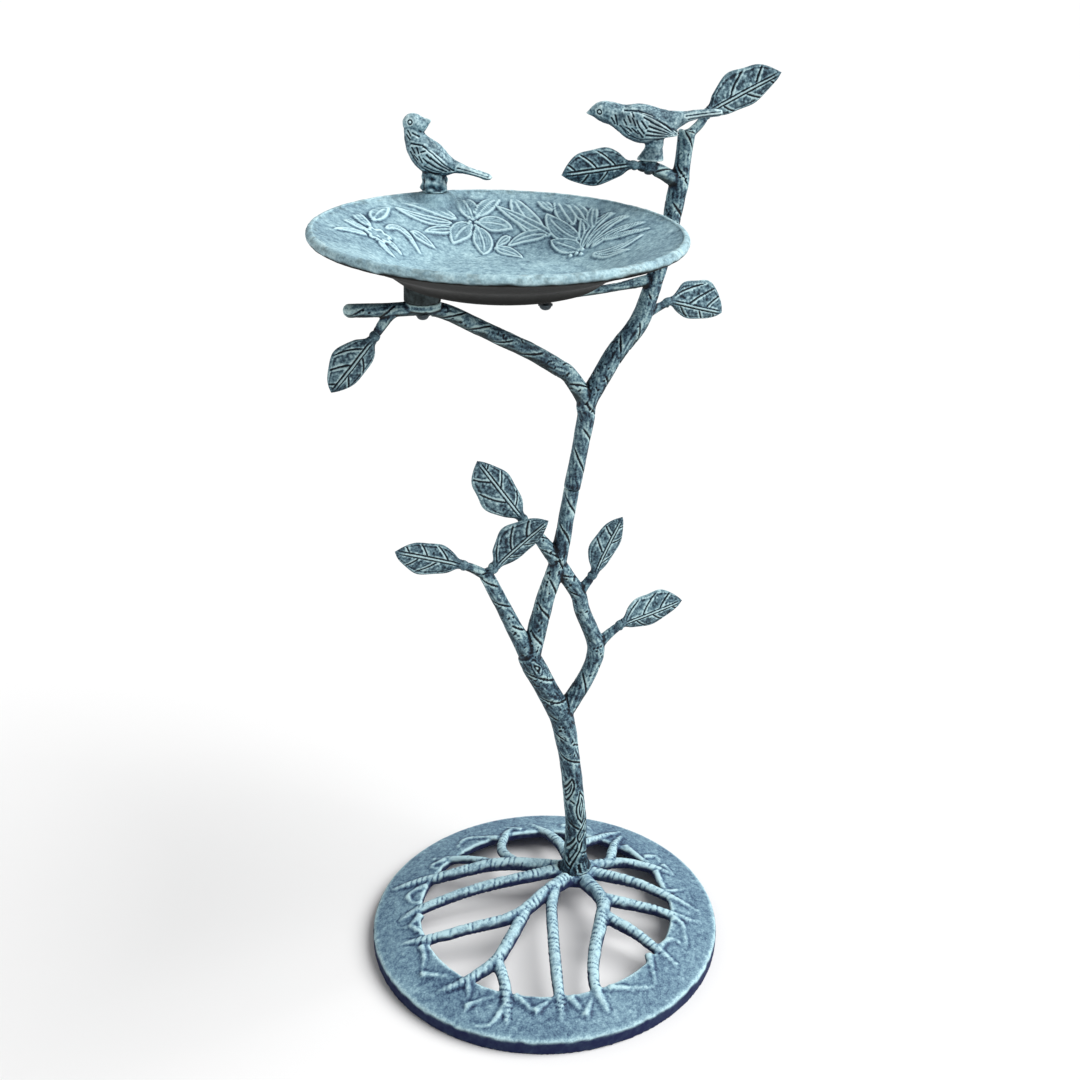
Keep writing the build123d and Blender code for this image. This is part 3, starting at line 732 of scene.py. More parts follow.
foot_route = [(hub_x, tree_y, hub_seat - 1, foot_radius), (hub_x - 0.3, tree_y, hub_seat + 6, 13.0)]
foot_route += [(hub_x - 0.6, tree_y, hub_seat + 15, 11.4), (hub_x - 0.6, tree_y, hub_seat + 34, 10.8)]
low_x, low_z = MAIN_STEM[-1][:2]
high_x, high_z = UPPER_STEM[0][:2]
joint_x = low_x + (high_x - low_x) * (stem_joint_z - low_z) / (high_z - low_z)
LOWER_TWIGS = (LOW_LEFT_TWIG, FRONT_TWIG, UPRIGHT_TWIG, RIGHT_TWIG)
lower_routes = [foot_route + in_tree(TRUNK), in_tree(MAIN_STEM) + [(joint_x, tree_y, stem_joint_z, 6.9)]]
lower_routes += [in_tree(route) for route in (LEFT_BRANCH, CROSS_BRANCH, *LOWER_TWIGS)]
lower_skin = fused("lower_tree_casting", [limbs_mesh(lower_routes)], 0.95, 9)
points = skin_points(lower_skin)
normals = skin_normals(lower_skin)
rise = bark(points, lower_routes, 21)
lay = points * (1.0, 1.0, 0.4)
front = ease(-normals[:, 1], 0.0, 0.5)
knot_x, knot_z, knot_radius = KNOT
knot_across = points[:, 0] - knot_x + 0.35 * (points[:, 2] - knot_z)
knot_up = (points[:, 2] - knot_z) / 1.6
knot_reach = np.hypot(knot_across, knot_up) + 1.3 * grain(points, 4.5, 91)
near_knot = ease(-knot_reach, -knot_radius - 1.5, -knot_radius + 0.5) * front
broken = ease(grain(points, 5.5, 92), -0.5, 0.2)
knot_shape = 0.6 * cut(knot_reach, 1.1) - 1.0 * cut(knot_reach - 2.2, 0.8) * broken
knot_shape -= 0.9 * cut(knot_reach - 5.0, 0.8) * (1 - 0.6 * broken)
rise = rise * (1 - near_knot) + knot_shape * near_knot
for x, z, half_width, half_length, lean in SWIRLS:
    swirl_up = points[:, 2] - z
    swirl_across = points[:, 0] - x - lean * swirl_up - 0.4 * half_width * np.sin(2.6 * swirl_up / half_length)
    swirl_across += 0.8 * grain(points, 7.0, 93)
    lens = np.abs(swirl_across) / half_width + (swirl_up / half_length) ** 2
    close_by = ease(-lens, -2.1, -1.5) * front
    fade = ease(grain(points, 9.0, 95) + 0.4, -0.3, 0.4)
    flow = -1.0 * cut((lens - 1.0) * half_width, 0.9) - 0.7 * cut((lens - 0.35) * half_width, 0.7) * fade
    flow += 0.3 * cut((lens - 0.7) * half_width, 0.8) + 0.25 * grain(lay, 2.4, 97)
    rise = rise * (1 - 0.8 * close_by) + flow * close_by
foot_calm = ease(points[:, 2], hub_seat + 0.5, hub_seat + 3)
points += normals * (rise * foot_calm)[:, None]
points[:, 2] = np.maximum(points[:, 2], hub_seat)
move_skin(lower_skin, points)
lower_joints = [(joint_x, stem_joint_z)] + [twig[-1][:2] for twig in (CROSS_BRANCH, *LOWER_TWIGS)]
weather(lower_skin, 10, 0.36, lean=0.05, calm=joint_calm(points, lower_joints))
finished("lower_tree_casting", lower_skin, tree_patina, "stand", "lower_tree")


# Upper tree casting: the stem goes on up past the bowl's arm and stub to the perch twig and a slanting cut top.
# It is drawn down on the lower casting by a hidden stud, and two flat pads on the arm and stub carry the bowl.

ARM = [(42.3, 524.5, 7.8), (26.1, 549.5, 7.1), (14.3, 558.5, 7.2), (-12.4, 575.6, 7.0), (-52.8, 597.6, 6.8)]
ARM += [(-81.7, 613.0, 6.4), (-100.0, 617.0, 6.0), (-130.0, 618.0, 5.6), (-156.0, 619.6, 5.6)]
ARM += [(-160.0, 620.0, 5.0), (-162.6, 620.0, 2.6)]
ARM_TWIG = [(-122, 617.5, 5.0), (-128.6, 611.9, 4.3), (-137.4, 599.8, 3.6)]
STUB = [(97.9, 627.0, 5.0), (68.8, 623.1, 3.9), (47.4, 621.2, 3.7), (3.0, 619.8, 4.2)]
STEM_TWIG = [(92.6, 597.8, 4.8), (103.8, 602.2, 3.7), (110.5, 604.9, 3.4)]
PERCH_TWIG = [(118.0, 706.0, 6.4), (100.3, 715.9, 5.8), (88.0, 719.8, 5.4), (79.5, 721.0, 3.2)]
CROWN_TWIG = [(121.8, 742.0, 4.2), (132.9, 751.5, 3.6), (137.6, 757.6, 3.4)]
pad_top = 623.0
pad_thickness = 6.0
screw_seat = pad_top - pad_thickness - 4.0
# Pads that carry the bowl: (x, radius).
PADS = [(-100.0, 14.5), (3.0, 10.0)]
perch_x = 90.0
perch_seat = 725.0
perch_boss_radius = 6.5
perch_boss_depth = 8.5
stem_top_x, stem_top = UPPER_STEM[-1][:2]

UPPER_TWIGS = (ARM_TWIG, STEM_TWIG, PERCH_TWIG, CROWN_TWIG)
upper_routes = [[(joint_x, tree_y, stem_joint_z, 7.3)] + in_tree(UPPER_STEM)]
upper_routes += [in_tree(route) for route in (ARM, STUB, *UPPER_TWIGS)]
upper_solids = [limbs_mesh(upper_routes)]
for pad_x, pad_radius in PADS:
    pad_section = [(0, pad_top - pad_thickness), (pad_radius - 1, pad_top - pad_thickness)]
    pad_section += [(pad_radius, pad_top - pad_thickness + 1), (pad_radius, pad_top), (0, pad_top)]
    upper_solids.append(turned_mesh(pad_section, (pad_x, tree_y), 40))
boss_section = [(0, perch_seat - perch_boss_depth), (perch_boss_radius, perch_seat - perch_boss_depth)]
boss_section += [(perch_boss_radius, perch_seat), (0, perch_seat)]
upper_solids.append(turned_mesh(boss_section, (perch_x, tree_y), 32))
upper_skin = fused("upper_tree_casting", upper_solids, 0.9, 8)
points = skin_points(upper_skin)
normals = skin_normals(upper_skin)
rise = bark(points, upper_routes, 51)
from_perch = from_axis(points, perch_x, tree_y)
calm = ease(np.abs(points[:, 2] - pad_top), 0.4, 2.0) * (1 - ease(-from_perch, -8.0, -6.0))
points += normals * (rise * calm)[:, None]
perch_axis = (perch_x, tree_y)
press_flat(points, perch_axis, 9.0, perch_seat, perch_seat + 9, perch_seat)
press_flat(points, perch_axis, 5.5, perch_seat - 15.4, perch_seat - 8.6, perch_seat - perch_boss_depth)
for pad_x, pad_radius in PADS:
    press_flat(points, (pad_x, tree_y), pad_radius + 1, pad_top, pad_top + 12, pad_top)
    press_flat(points, (pad_x, tree_y), 7.0, screw_seat - 8, screw_seat, screw_seat)
slant = stem_top - 1.0 - 0.35 * (points[:, 0] - stem_top_x)
twig_start = np.array([CROWN_TWIG[0][0], tree_y, CROWN_TWIG[0][1]])
twig_line = np.array([CROWN_TWIG[1][0], tree_y, CROWN_TWIG[1][1]]) - twig_start
twig_line /= np.linalg.norm(twig_line)
twig_away = np.linalg.norm(np.cross(points - twig_start, twig_line), axis=1)
off_twig = (twig_away > 5.0) | ((points - twig_start) @ twig_line < 2)
at_top = (from_axis(points, stem_top_x, tree_y) < 9) & (points[:, 2] > slant) & off_twig
points[:, 2] = np.where(at_top, slant, points[:, 2])
move_skin(upper_skin, points)
upper_joints = [(joint_x, stem_joint_z), (perch_x, perch_seat - 4)] + [twig[-1][:2] for twig in UPPER_TWIGS]
weather(upper_skin, 10, 0.36, lean=0.05, calm=joint_calm(points, upper_joints))
finished("upper_tree_casting", upper_skin, tree_patina, "stand", "upper_tree")


# Leaves: nine small castings, each a pointed blade on a short stalk pinned to the end of its twig.
# Each blade has a midrib between two cut lines, pairs of side veins, a thick rolled edge and a pebbled skin.

leaf_stalk = 6.0
leaf_fold = 0.24
leaf_sides = 96

# Name, twig that it ends, length, heading, widest place and half-width on each side, lean forward, curl back.
LEAVES = [
    ("low_left_leaf", LOW_LEFT_TWIG, 62.0, 158.9, (33, 17.0), (31, 13.0), 0.0, -3.0),
    ("front_leaf", FRONT_TWIG, 63.0, 47.2, (28, 20.0), (28, 12.5), 13.0, -4.0),
    ("cross_tip_leaf", CROSS_BRANCH, 67.0, 124.5, (30, 20.0), (24, 13.5), 0.0, 3.0),
    ("upright_leaf", UPRIGHT_TWIG, 58.0, 65.3, (22, 14.5), (30, 12.0), 0.0, -3.0),
    ("low_right_leaf", RIGHT_TWIG, 63.5, 10.2, (34, 19.5), (27, 13.5), 0.0, 4.0),
    ("arm_leaf", ARM_TWIG, 53.0, -129.2, (28, 13.0), (30, 16.5), 0.0, 3.0),
    ("stem_leaf", STEM_TWIG, 54.0, -16.6, (23, 23.0), (23, 11.0), 0.0, 4.0),
    ("perch_leaf", PERCH_TWIG, 58.0, -173.5, (32, 12.0), (26, 16.5), 0.0, 3.0),
    ("crown_leaf", CROWN_TWIG, 69.0, 25.3, (42, 17.5), (38, 13.0), 0.0, -3.0),
]

leaf_patina = patina(
    "leaf_patina",
    [(6, 16, 28), (32, 50, 65), (76, 104, 118), (124, 156, 166), (190, 220, 224)],
    depth=0.8,
    fine=1.5,
    mottle=1.2,
    cloud=0.7,
    lift=-0.03,
    # The colour and depth of the painted shade on the leaves' down-turned faces.
    under=(40, 44, 40),
    shade_and_stain_depth=0.55,
)


def arc_height(along, start, through, end):
    """Height at each place along of the circular arc through three points."""
    (ax, ay), (bx, by), (cx, cy) = start, through, end
    double_area = 2 * (ax * (by - cy) + bx * (cy - ay) + cx * (ay - by))
    a2, b2, c2 = ax**2 + ay**2, bx**2 + by**2, cx**2 + cy**2
    centre_x = (a2 * (by - cy) + b2 * (cy - ay) + c2 * (ay - by)) / double_area
    centre_y = (a2 * (cx - bx) + b2 * (ax - cx) + c2 * (bx - ax)) / double_area
    radius = np.hypot(ax - centre_x, ay - centre_y)
    return centre_y + np.sqrt(np.maximum(radius**2 - (along - centre_x) ** 2, 0))


def leaf_carving(along, wide, share, opened, length, seed):
    """Height of the carving across one section of a leaf: midrib, side veins, thick rolled edge and pebbling."""
    rib = 0.35 * cut(wide, 0.7) - 0.95 * cut(wide + 1.4, 0.65) - 0.55 * cut(wide - 1.4, 0.5)
    vein_gap = length / 3.2
    swept = along - 0.5 * np.abs(wide) - 0.04 * wide**2 + 1.6 * np.sin(along / 9 + 2 * seed)
    vein = (swept + np.where(wide > 0, 0, vein_gap / 2.4)) / vein_gap
    off_vein = (vein - np.round(vein)) * vein_gap * 0.7
    inner = ease(np.abs(wide), 1.6, 3.0) * (1 - ease(share, 0.84, 0.97))
    veins = (-0.85 * cut(off_vein, 0.62) + 0.25 * cut(off_vein - 1.5, 0.8)) * inner
    rolled = 0.2 * cut(share - 0.92, 0.07) - 0.25 * cut(share - 0.8, 0.07)
    spot = np.stack([np.full(leaf_sides, along), wide, np.full(leaf_sides, seed * 9.0)], 1)
    pebbled = 0.15 * grain(spot, 1.8, 4) + 0.2 * grain(spot, 3.4, 6)
    carved = (rib + veins + rolled) * opened * ease(length - along, 0.5, 8.0) + pebbled * (0.3 + 0.7 * opened)
    return carved * ease(along, -leaf_stalk - 1.5, -leaf_stalk + 1.5)


def leaf_mesh(twig, length, heading, upper_side, lower_side, lean, curl, seed):
    """One leaf as a loft from its round stalk to its pointed tip, and how calm its skin is at each point."""
    end_x, end_z, end_radius = twig[-1]
    last_x, last_z = twig[-2][:2]
    heading = np.radians(heading)
    lean = np.radians(lean)
    ahead = np.array([np.cos(heading) * np.cos(lean), -np.sin(lean), np.sin(heading) * np.cos(lean)])
    across = np.array([-np.sin(heading), 0, np.cos(heading)])
    outer = np.cross(ahead, across)
    twig_run = np.array([end_x - last_x, 0, end_z - last_z])
    twig_run /= np.linalg.norm(twig_run)
    twig_across = np.cross(np.array([0, -1.0, 0]), twig_run)
    twig_across *= np.sign(twig_across @ across)
    root = np.array([end_x, tree_y, end_z]) + twig_run * leaf_stalk
    stalk = np.linspace(-leaf_stalk - 1.5, -0.5, 14)
    blade = length * (1 - np.cos(np.linspace(0, np.pi, 125))) / 2
    phase = 2 * np.pi * np.arange(leaf_sides) / leaf_sides
    level = np.abs(phase / np.pi - 1) * 2 - 1
    sideways, through = np.cos(phase), np.sin(phase)
    rings = []
    calms = []
    for along in np.concatenate([stalk, blade[1:]]):
        upper, lower = 0.0, 0.0
        if along > 0:
            upper = arc_height(along, (0, end_radius * 0.9), upper_side, (length, 0))
            lower = arc_height(along, (0, end_radius * 0.9), lower_side, (length, 0))
        opened = ease(along, -4.0, 8.5)
        collar = 0.2 * cut(along + leaf_stalk - 2.6, 1.8) + 0.5 * cut(along + 1.0, 3.0)
        stem = end_radius * (0.86 + 0.24 * ease(along, -leaf_stalk - 1.5, -leaf_stalk + 1.5)) + collar
        wavy = 1 + 0.06 * np.sin(along / 5.0 + seed)
        half_up = stem * (1 - opened) + max(upper * wavy, 0.25) * opened
        half_down = stem * (1 - opened) + max(lower / wavy, 0.25) * opened
        thin = max(2.1 - 0.9 * along / length, 0.3) * min(1.0, (length - along) / 5 + 0.12)
        spread = sideways + (level - sideways) * 0.88 * opened
        share = np.abs(spread)
        wide = spread * np.where(spread > 0, half_up, half_down)
        edge = np.sign(through) * np.sqrt(np.clip(1 - share**5, 0, 1))
        carved = leaf_carving(along, wide, share, opened, length, seed)
        deep = through * stem * (1 - opened) + edge * thin * opened
        deep += carved * ease(through, 0.02, 0.22) - 0.45 * carved * ease(-through, 0.02, 0.22)
        calms.append((0.35 + 0.65 * opened) * (1 - 0.85 * ease(share, 0.84, 0.95) * opened))
        bent = curl * (max(along, 0.0) / length) ** 2 + (np.hypot(wide, 2.0) - 2.0) * leaf_fold * opened
        turned = ease(along, -leaf_stalk, 0.0)
        lay = twig_across * (1 - turned) + across * turned
        lay /= np.linalg.norm(lay)
        middle = root + (ahead if along > 0 else twig_run) * along
        rings.append(middle + np.outer(wide, lay) + np.outer(deep - bent, outer))
    return loft_mesh(np.array(rings)), np.concatenate([*calms, [0.0, 0.0]])


for index, (leaf_name, twig, *shape) in enumerate(LEAVES):
    leaf, leaf_calm = leaf_mesh(twig, *shape, index + 1)
    weather(leaf, 9, 0.3, calm=leaf_calm)
    finished(leaf_name + "_casting", leaf, leaf_patina, "stand", leaf_name)


# Bowl: one casting, a shallow dish with a rolled rim and a spray of lilies raised on its inner face.
# Two bosses below stand on the tree's pads, and a low round seat on the rim carries a bird.

bowl_x = -48.5
bowl_y = 0.0
rim_radius = 144.5
rim_top = 686.0
bowl_underside = 645.0
bowl_wall = 4.5
floor_radius = 66.0
rim_bird_bearing = np.radians(95.0)
rim_bird_inset = 11.5
bowl_sides = 560
dish_floor = bowl_underside + bowl_wall
lip_half_width = 4.1
lip_half_depth = 4.2
bird_x = bowl_x + (rim_radius - rim_bird_inset) * np.cos(rim_bird_bearing)
bird_y = bowl_y + (rim_radius - rim_bird_inset) * np.sin(rim_bird_bearing)

bowl_patina = patina(
    "bowl_patina",
    [(44, 66, 86), (90, 118, 136), (130, 162, 177), (164, 198, 208), (204, 234, 240)],
    depth=0.72,
    fine=1.1,
    mottle=0.8,
    cloud=0.9,
    lift=0.11,
    # The colour and depth of the near-black darkening: painted shade under the dish and on its bosses, and streaks
    # on the lip.
    under=(13, 14, 12),
    shade_and_stain_depth=1.05,
)

# Petals and broad leaves, from base to tip in plan from the bowl's centre, then half-width.
PETALS = [
    ([(12, 103), (12, 118), (9, 136)], 7.5),
    ([(17, 105), (30, 117), (43, 124)], 6.0),
    ([(16, 97), (28, 93), (39, 84)], 7.5),
    ([(12, 91), (12, 76), (7, 61)], 7.0),
    ([(7, 95), (-3, 90), (-13, 78)], 7.5),
    ([(-81, 79), (-86, 90), (-87, 101)], 4.5),
    ([(-74, 91), (-66, 104), (-56, 113)], 5.5),
    ([(-85, 69), (-94, 75), (-102, 79)], 3.2),
    ([(-45, 84), (-39, 80), (-31, 71)], 4.0),
    ([(76, 90), (74, 101), (72, 113)], 3.6),
    ([(80, 42), (73, 64), (71, 87)], 7.5),
    ([(76, 28), (70, 42), (63, 56)], 7.0),
    ([(95, 45), (101, 62), (111, 77)], 4.2),
    ([(20, 67), (28, 59), (34, 45)], 5.0),
]

# Long narrow leaves, in the same way.
BLADES = [
    ([(-4, 105), (-24, 120), (-47, 126)], 5.5),
    ([(-9, 99), (-31, 104), (-49, 115)], 4.5),
    ([(-9, 92), (-22, 91), (-33, 88)], 3.5),
    ([(-89, 61), (-101, 60), (-114, 53)], 2.6),
    ([(-66, 82), (-53, 84), (-46, 60)], 2.4),
    ([(-73, 63), (-68, 59), (-64, 50)], 2.4),
    ([(-78, 58), (-76, 48), (-72, 40)], 2.2),
    ([(58, 68), (53, 95), (53, 123)], 8.0),
    ([(64, 63), (50, 89), (36, 113)], 5.0),
    ([(61, 65), (46, 71), (30, 67)], 5.0),
    ([(34, 76), (28, 74), (20, 68)], 3.2),
    ([(84, 63), (84, 85), (86, 106)], 6.5),
    ([(94, 60), (95, 80), (92, 99)], 5.0),
    ([(83, 36), (89, 49), (92, 64)], 4.2),
    ([(79, 29), (101, 49), (127, 54)], 3.8),
    ([(83, 26), (109, 39), (131, 35)], 3.8),
    ([(86, 22), (108, 23), (131, 13)], 3.8),
    ([(94, 22), (111, 10), (124, 0)], 2.8),
    ([(82, 10), (94, -5), (116, -6)], 4.2),
    ([(83, 3), (90, -10), (98, -20)], 3.4),
]
STAMENS = [(9, 104), (15, 103), (15, 109), (6, 97), (11, 94), (8, 99), (13, 98)]
STAMENS += [(78, 26), (73, 25), (68, 26), (75, 21), (-78, 64), (-80, 58), (-75, 60)]
CUP = (-77, 66)


def motif_height(plan, route, half_width, is_petal):
    """Height of one raised leaf or petal: a low pad, a raised outline and a centre line."""
    base, middle, tip = (np.array(point, float) for point in route)
    bow = 2 * middle - (base + tip) / 2
    share = np.linspace(0, 1, 22)[:, None]
    line = base * (1 - share) ** 2 + bow * 2 * share * (1 - share) + tip * share**2
    reach = half_width + 4
    inside = (plan > line.min(0) - reach) & (plan < line.max(0) + reach)
    chosen = np.nonzero(inside.all(1))[0]
    starts, runs = line[:-1], np.diff(line, axis=0)
    offset = plan[chosen, None, :] - starts[None]
    step = np.clip((offset * runs).sum(2) / (runs**2).sum(1), 0, 1)
    offset = offset - step[..., None] * runs
    distance = np.linalg.norm(offset, axis=2)
    best = distance.argmin(1)
    rows = np.arange(len(chosen))
    place = (best + step[rows, best]) / len(runs)
    away = distance[rows, best]
    swell = np.sin(np.pi * np.clip(place, 0, 1) ** (0.9 if is_petal else 0.75)) ** 0.75
    width = np.maximum(half_width * (swell + 0.28 * (1 - place) ** 3), 0.01)
    rim = cut(away - width, 0.95)
    pad = 0.75 * ease(width - away, -0.6, 0.8)
    vein = 0.7 * cut(away, 0.75) * ease(0.9 - place, 0.0, 0.2)
    if is_petal:
        for gap in (0.36, 0.66):
            vein += 0.25 * cut(away - gap * width, 0.6) * ease(0.8 - place, 0.0, 0.3)
    height = np.maximum(pad + 0.95 * rim, pad + vein)
    return chosen, height, away < width


def relief_height(plan):
    """Height of the whole raised spray over the plain dish, in millimetres."""
    height = np.zeros(len(plan))
    for motifs, is_petal in ((BLADES, False), (PETALS, True)):
        for route, half_width in motifs:
            chosen, raised, within = motif_height(plan, route, half_width, is_petal)
            height[chosen] = np.where(within, raised, np.maximum(height[chosen], raised))
    for x, y in STAMENS:
        height = np.maximum(height, 2.3 * cut(from_axis(plan, x, y), 1.5))
    cup_reach = from_axis(plan, *CUP)
    cup_angle = np.arctan2(plan[:, 1] - CUP[1], plan[:, 0] - CUP[0])
    frill = 8.5 + 1.2 * np.sin(7 * cup_angle)
    height = np.maximum(height, (1.0 + 1.0 * cut(cup_reach - frill, 1.1)) * ease(frill + 1 - cup_reach, -1, 0.8))
    return height


# The inner face from the middle to the lip, and the outer one back to the middle: (radius, height).
dish = [(0, dish_floor), (30, dish_floor), (58, 649.6), (floor_radius, 650.9), (78, 655.6), (86, 660.0)]
dish += [(95, 665.4), (110, 672.6), (126.5, 679.5), (134, 682.6), (139, 685.2), (141, rim_top)]
dish_reach = np.concatenate([np.linspace(0.6, 50, 22), np.linspace(51, 139, 96)])
dish_height = smoothed(np.interp(dish_reach, *np.array(dish).T), 6)
lip_turn = np.radians(np.linspace(105, -85, 12))
lip_reach = rim_radius + lip_half_width * (np.cos(lip_turn) - 1)
lip_height = rim_top - 4.0 + lip_half_depth * np.sin(lip_turn)
shell = [(139.0, 677.6), (132, 674.9), (122, 671.0), (112, 667.0), (103, 663.3), (95, 660.0), (88, 655.4)]
shell += [(82, 650.9), (78, 648.0), (73, 646.2)]
shell += [(reach, bowl_underside) for reach in (floor_radius, 50, 30, 12, 0.6)]
bowl_profile = np.array([*zip(dish_reach, dish_height), *zip(lip_reach, lip_height), *shell])
angles = 2 * np.pi * np.arange(bowl_sides) / bowl_sides
ring_x = np.outer(bowl_profile[:, 0], np.cos(angles))
ring_y = np.outer(bowl_profile[:, 0], np.sin(angles))
ring_z = np.repeat(bowl_profile[:, 1:], bowl_sides, 1)
plan = np.stack([ring_x.ravel(), ring_y.ravel()], 1)
inner = np.zeros(ring_x.shape)
inner[: len(dish_reach)] = 1.0
reach = from_axis(plan, 0, 0)
spot = np.stack([plan[:, 0], plan[:, 1], ring_z.ravel()], 1)
band = ease(reach, 124, 131)
skin_noise = 0.14 * grain(spot, 2.4, 31) + 0.1 * grain(spot, 5.0, 32)
ray = np.stack([np.arctan2(plan[:, 1], plan[:, 0]) * 60, reach / 3, spot[:, 2] / 3], 1)
rim_noise = 0.28 * grain(ray, 2.3, 33) + 0.16 * grain(spot, 3.4, 34)
raised = relief_height(plan) * (1 - band)
rise = inner.ravel() * (raised + skin_noise * (1 - band)) + rim_noise * band * ease(spot[:, 2], 676, 680)
ring_z = ring_z + rise.reshape(ring_z.shape)
seat_away = np.hypot(ring_x + bowl_x - bird_x, ring_y + bowl_y - bird_y)
seat = (1 - ease(seat_away, 10.9, 19.0)) * ease(ring_z, 668, 674) * inner
ring_z = ring_z * (1 - seat) + (rim_top + 1.0) * seat
bowl_rings = np.stack([ring_x + bowl_x, ring_y + bowl_y, ring_z], 2)
bowl_skin = loft_mesh(bowl_rings)
boss_shape = bmesh.new()
boss_shape.from_mesh(bowl_skin)
for pad_x, pad_radius in PADS:
    boss_section = [(0, pad_top + 0.05), (pad_radius - 0.8, pad_top + 0.05), (pad_radius, pad_top + 0.9)]
    boss_section += [(pad_radius - 0.3, bowl_underside - 5), (pad_radius + 1.2, bowl_underside - 1.2)]
    boss_section += [(pad_radius + 3, bowl_underside + 1), (0, bowl_underside + 2.2)]
    boss = turned_mesh(boss_section, (pad_x, tree_y), 48)
    boss_shape.from_mesh(boss)
    bpy.data.meshes.remove(boss)
boss_shape.to_mesh(bowl_skin)
boss_shape.free()
bowl_points = skin_points(bowl_skin)
bowl_reach = from_axis(bowl_points, bowl_x, bowl_y)
seat_near = from_axis(bowl_points, bird_x, bird_y)
lip_calm = (1 - 0.8 * ease(bowl_reach, 135, 139)) * ease(seat_near, 14.0, 30.0)
# Painted shade: the bosses below the dish are darkened as if shadowed by it.
boss_painted_shade = 0.9 * ease(-bowl_points[:, 2], -648.5, -646.0)
streaks = ease(grain(bowl_points * (1, 1, 2.5), 3.0, 35) + 0.6 * grain(bowl_points, 7.0, 36), -0.05, 0.8)
# Streaks of the dark under colour over the lip band.
lip_streaks = 0.4 * streaks * ease(bowl_reach, 134, 138)
weather(bowl_skin, 8, 0.45, lean=0.0, calm=lip_calm, shade_and_stain=np.maximum(boss_painted_shade, lip_streaks))
finished("bowl_casting", bowl_skin, bowl_patina, "stand", "bowl")


# Birds: two small solid castings with feathers cut by hand in the pattern, each held by one screw from below.
# One stands on a round plinth on the rim and looks back over its shoulder, the other leans out from the perch.

bird_yaw = np.radians(-25.0)
bird_along = np.array([np.cos(bird_yaw), np.sin(bird_yaw), 0])
bird_side = np.array([np.sin(bird_yaw), -np.cos(bird_yaw), 0])
bird_cell = 0.62

bird_patina = patina(
    "bird_patina",
    [(14, 26, 38), (48, 68, 83), (100, 130, 144), (158, 190, 199), (218, 244, 247)],
    depth=0.85,
    fine=1.1,
    mottle=1.1,
    cloud=1.0,
    lift=0.03,
    # The colour and depth of the painted shade on the belly and other down-turned faces, and of the stain patches.
    under=(34, 46, 62),
    shade_and_stain_depth=0.75,
)

# Bodies as sections from front to back: (along, height, half-depth, half-width), then how far sideways for wings.
PERCH_BODY = [
    (-51.6, 759.6, 0.5, 0.5), (-48.8, 759.9, 2.1, 1.9), (-46, 760.6, 4.2, 3.8), (-43, 761.1, 6.6, 6.2),
    (-38, 761.3, 8.4, 8.0), (-32, 760.3, 8.8, 8.5), (-27, 758.6, 9.2, 8.8), (-23, 757.0, 10.8, 10.2),
    (-16, 755.0, 13.8, 12.4), (-8, 753.2, 15.4, 13.4), (0, 752.8, 14.8, 13.2), (8, 753.9, 12.2, 11.8),
    (15, 755.8, 9.2, 9.8), (21, 757.8, 6.6, 8.0), (28, 760.0, 4.4, 6.2), (38, 762.6, 3.4, 5.4),
    (48, 763.9, 3.0, 5.4), (55.6, 764.6, 2.7, 5.4), (56.4, 764.7, 1.6, 4.2),
]
PERCH_WING = [
    (-23, 757.5, 3.0, 1.2, 8.2), (-17, 756.0, 7.5, 2.6, 10.2), (-8, 753.5, 10.2, 3.2, 11.6),
    (1, 751.4, 9.2, 3.2, 11.4), (9, 749.8, 6.4, 2.8, 9.8), (16, 748.2, 3.6, 2.2, 8.0),
    (22.4, 746.8, 0.7, 0.8, 6.4),
]
PERCH_LEG = [
    (0.8, 725.15, 10.8, 7.8), (1.0, 727.0, 10.4, 7.6), (2.2, 730.5, 8.8, 6.6), (3.6, 735, 6.9, 5.6),
    (3.6, 740, 7.8, 6.6), (2.0, 745, 9.5, 8.0),
]
RIM_BODY = [
    (-17.6, 743, 6.8, 6.8), (-17.0, 737, 7.4, 7.4), (-15.6, 730.5, 8.8, 8.8), (-12.4, 724, 11.4, 10.8),
    (-7.4, 718.2, 13.2, 12.2), (-1.4, 713.6, 13.3, 12.4), (5.4, 710.4, 11.2, 11.0), (11.4, 708.8, 8.2, 9.0),
    (17, 708.2, 5.2, 7.0), (24, 706.6, 3.4, 5.6), (34, 704.0, 2.8, 5.4), (42, 701.8, 2.6, 5.6),
    (46.6, 700.5, 2.4, 5.6), (47.4, 700.3, 1.4, 4.4),
]
RIM_HEAD = [
    (-25.2, 740.8, 1.6, 1.8), (-24, 740.9, 4.6, 4.8), (-21, 741.1, 7.2, 7.0), (-17, 741.3, 8.3, 7.9),
    (-13.5, 741.2, 8.2, 7.6), (-10.5, 741.4, 7.2, 6.6), (-7.8, 742.2, 5.4, 4.8), (-5, 743.4, 3.1, 2.8),
    (-1.9, 744.6, 0.6, 0.6),
]
RIM_WING = [
    (-15.5, 724, 3.2, 1.2, 7.6), (-11, 720, 6.6, 2.6, 9.8), (-4, 715.2, 8.0, 3.0, 11.2), (3, 711, 7.0, 2.8, 10.4),
    (10, 707.8, 4.6, 2.2, 8.2), (17.5, 705.4, 0.8, 0.8, 6.0),
]
RIM_PLINTH = [
    (0, 687.15, 10.3, 10.3), (0, 688.6, 10.9, 10.9), (0, 693, 10.5, 10.5), (0, 698, 10.4, 10.4),
    (-0.5, 702, 9.6, 9.6), (-1, 706, 8.0, 8.0),
]

